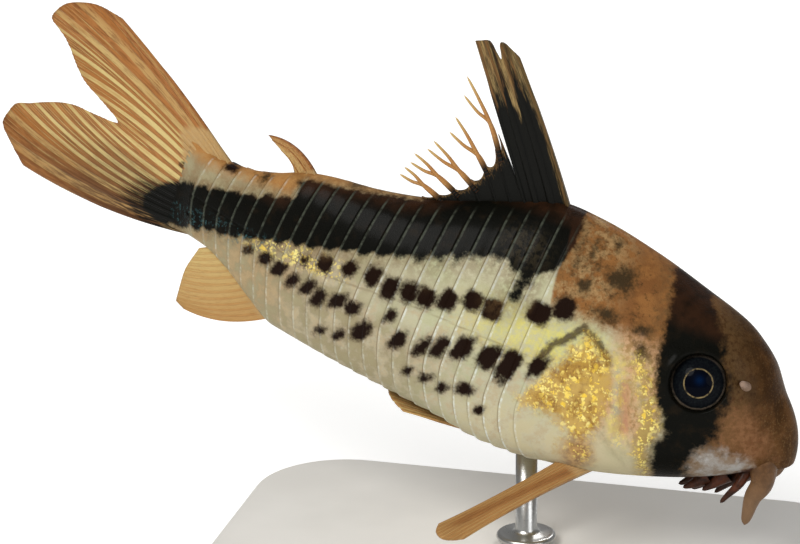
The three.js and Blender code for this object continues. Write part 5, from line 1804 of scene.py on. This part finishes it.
class CatfishPairedFins(bpy.types.Operator):
    """Make the pectoral and pelvic fins on both sides"""

    bl_idname = "catfish.paired_fins"
    bl_label = "Paired fins"

    def execute(self, context):
        props = context.scene.catfish_fins
        material = fin_material(props)
        for name, side in (("right", 1), ("left", -1)):
            settle(build_pectoral(props, material, side, name), "fins", f"fin_pectoral_{name}")
            settle(build_pelvic(props, material, side, name), "fins", f"fin_pelvic_{name}")
        return {"FINISHED"}


class CatfishEyes(bpy.types.Operator):
    """Set a glass eye in each socket"""

    bl_idname = "catfish.eyes"
    bl_label = "Eyes"

    def execute(self, context):
        body = context.scene.catfish_body
        face = context.scene.catfish_face
        material = eye_material(face)
        for name, side in (("right", 1), ("left", -1)):
            settle(build_eye(body.eye_radius, material, side, name), "eye", f"eye_{name}")
        return {"FINISHED"}


class CatfishMouth(bpy.types.Operator):
    """Make the barbels, the chin flaps, the lips and the nostril flaps"""

    bl_idname = "catfish.mouth"
    bl_label = "Mouth and nostrils"

    def execute(self, context):
        props = context.scene.catfish_face
        soft = flesh_material("Barbel flesh", props.barbel, props.barbel_patch, props.barbel_tip, 0.2)
        red = flesh_material("Lip flesh", props.lips, props.lips_dark, props.lips_dark, 0.3)
        pale = flesh_material("Nostril flesh", props.flap, props.flap_shade, props.flap, 0.1)
        for name, side in (("right", 1), ("left", -1)):
            path = mirrored(UPPER_BARBEL, side)
            upper = strands(f"upper_barbel_{name}", [path], *UPPER_BARBEL_GIRTH, soft, 40, 24, 0.85)
            settle(upper, "barbels", f"barbel_upper_{name}")
            path = mirrored(LOWER_BARBEL, side)
            lower = strands(f"lower_barbel_{name}", [path], *LOWER_BARBEL_GIRTH, red, 24, 16, 0.9)
            settle(lower, "barbels", f"barbel_lower_{name}")
            flaps = [mirrored(path, side) for path in (CHIN_FLAP, *CHIN_FRINGE)]
            flap = strands(f"chin_flap_{name}", flaps, *CHIN_FLAP_GIRTH, red, 20, 14, 0.8)
            settle(flap, "barbels")
            mirror = np.array([1, side, 1])
            tip = skin_spot(*NOSTRIL_TIP) * mirror
            foot = skin_spot(*NOSTRIL_FOOT) * mirror
            flap_line = [tuple(foot), tuple((foot + tip) / 2), tuple(tip)]
            nostril = strands(f"nostril_flap_{name}", [flap_line], *NOSTRIL_GIRTH, pale, 14, 14)
            settle(nostril, "skin")
        arcs = [
            mouth_arc(MOUTH_FRONT, MOUTH_HEIGHT, 0.35),
            mouth_arc(MOUTH_FRONT + LOWER_LIP_BACK, MOUTH_HEIGHT - LOWER_LIP_DROP, 0.05, 0.94),
        ]
        lips = strands("lips", arcs, LIP_RADIUS, LIP_RADIUS, red, 40, 14)
        settle(lips, "barbels")
        return {"FINISHED"}


class CatfishStand(bpy.types.Operator):
    """Make the plinth and the post that hold the fish"""

    bl_idname = "catfish.stand"
    bl_label = "Stand"

    def execute(self, context):
        props = context.scene.catfish_stand
        settle(build_base(lacquer_material(props)), "stand", "stand_base")
        settle(build_rod(steel_material(props)), "rod", "stand_rod")
        return {"FINISHED"}


PIECES = (
    CatfishStage, CatfishSkin, CatfishMedianFins, CatfishPairedFins, CatfishEyes, CatfishMouth, CatfishStand,
)


class CatfishPanel(bpy.types.Panel):
    """Lists the catfish's pieces in the sidebar"""

    bl_idname = "VIEW3D_PT_catfish"
    bl_label = "Catfish"
    bl_space_type = "VIEW_3D"
    bl_region_type = "UI"
    bl_category = "Catfish"

    def draw(self, context):
        for piece in PIECES:
            self.layout.operator(piece.bl_idname)


PROPERTIES = {
    "catfish_body": CatfishBodyProperties,
    "catfish_fins": CatfishFinProperties,
    "catfish_face": CatfishFaceProperties,
    "catfish_stand": CatfishStandProperties,
}


def register():
    for kind in (*PROPERTIES.values(), *PIECES, CatfishPanel):
        bpy.utils.register_class(kind)
    for name, kind in PROPERTIES.items():
        setattr(bpy.types.Scene, name, bpy.props.PointerProperty(type=kind))


def unregister():
    for name in PROPERTIES:
        delattr(bpy.types.Scene, name)
    for kind in reversed((*PROPERTIES.values(), *PIECES, CatfishPanel)):
        bpy.utils.unregister_class(kind)


def main():
    register()
    bpy.ops.catfish.stage()
    bpy.ops.catfish.skin()
    bpy.ops.catfish.median_fins()
    bpy.ops.catfish.paired_fins()
    bpy.ops.catfish.eyes()
    bpy.ops.catfish.mouth()
    bpy.ops.catfish.stand()


if __name__ == "__main__":
    main()
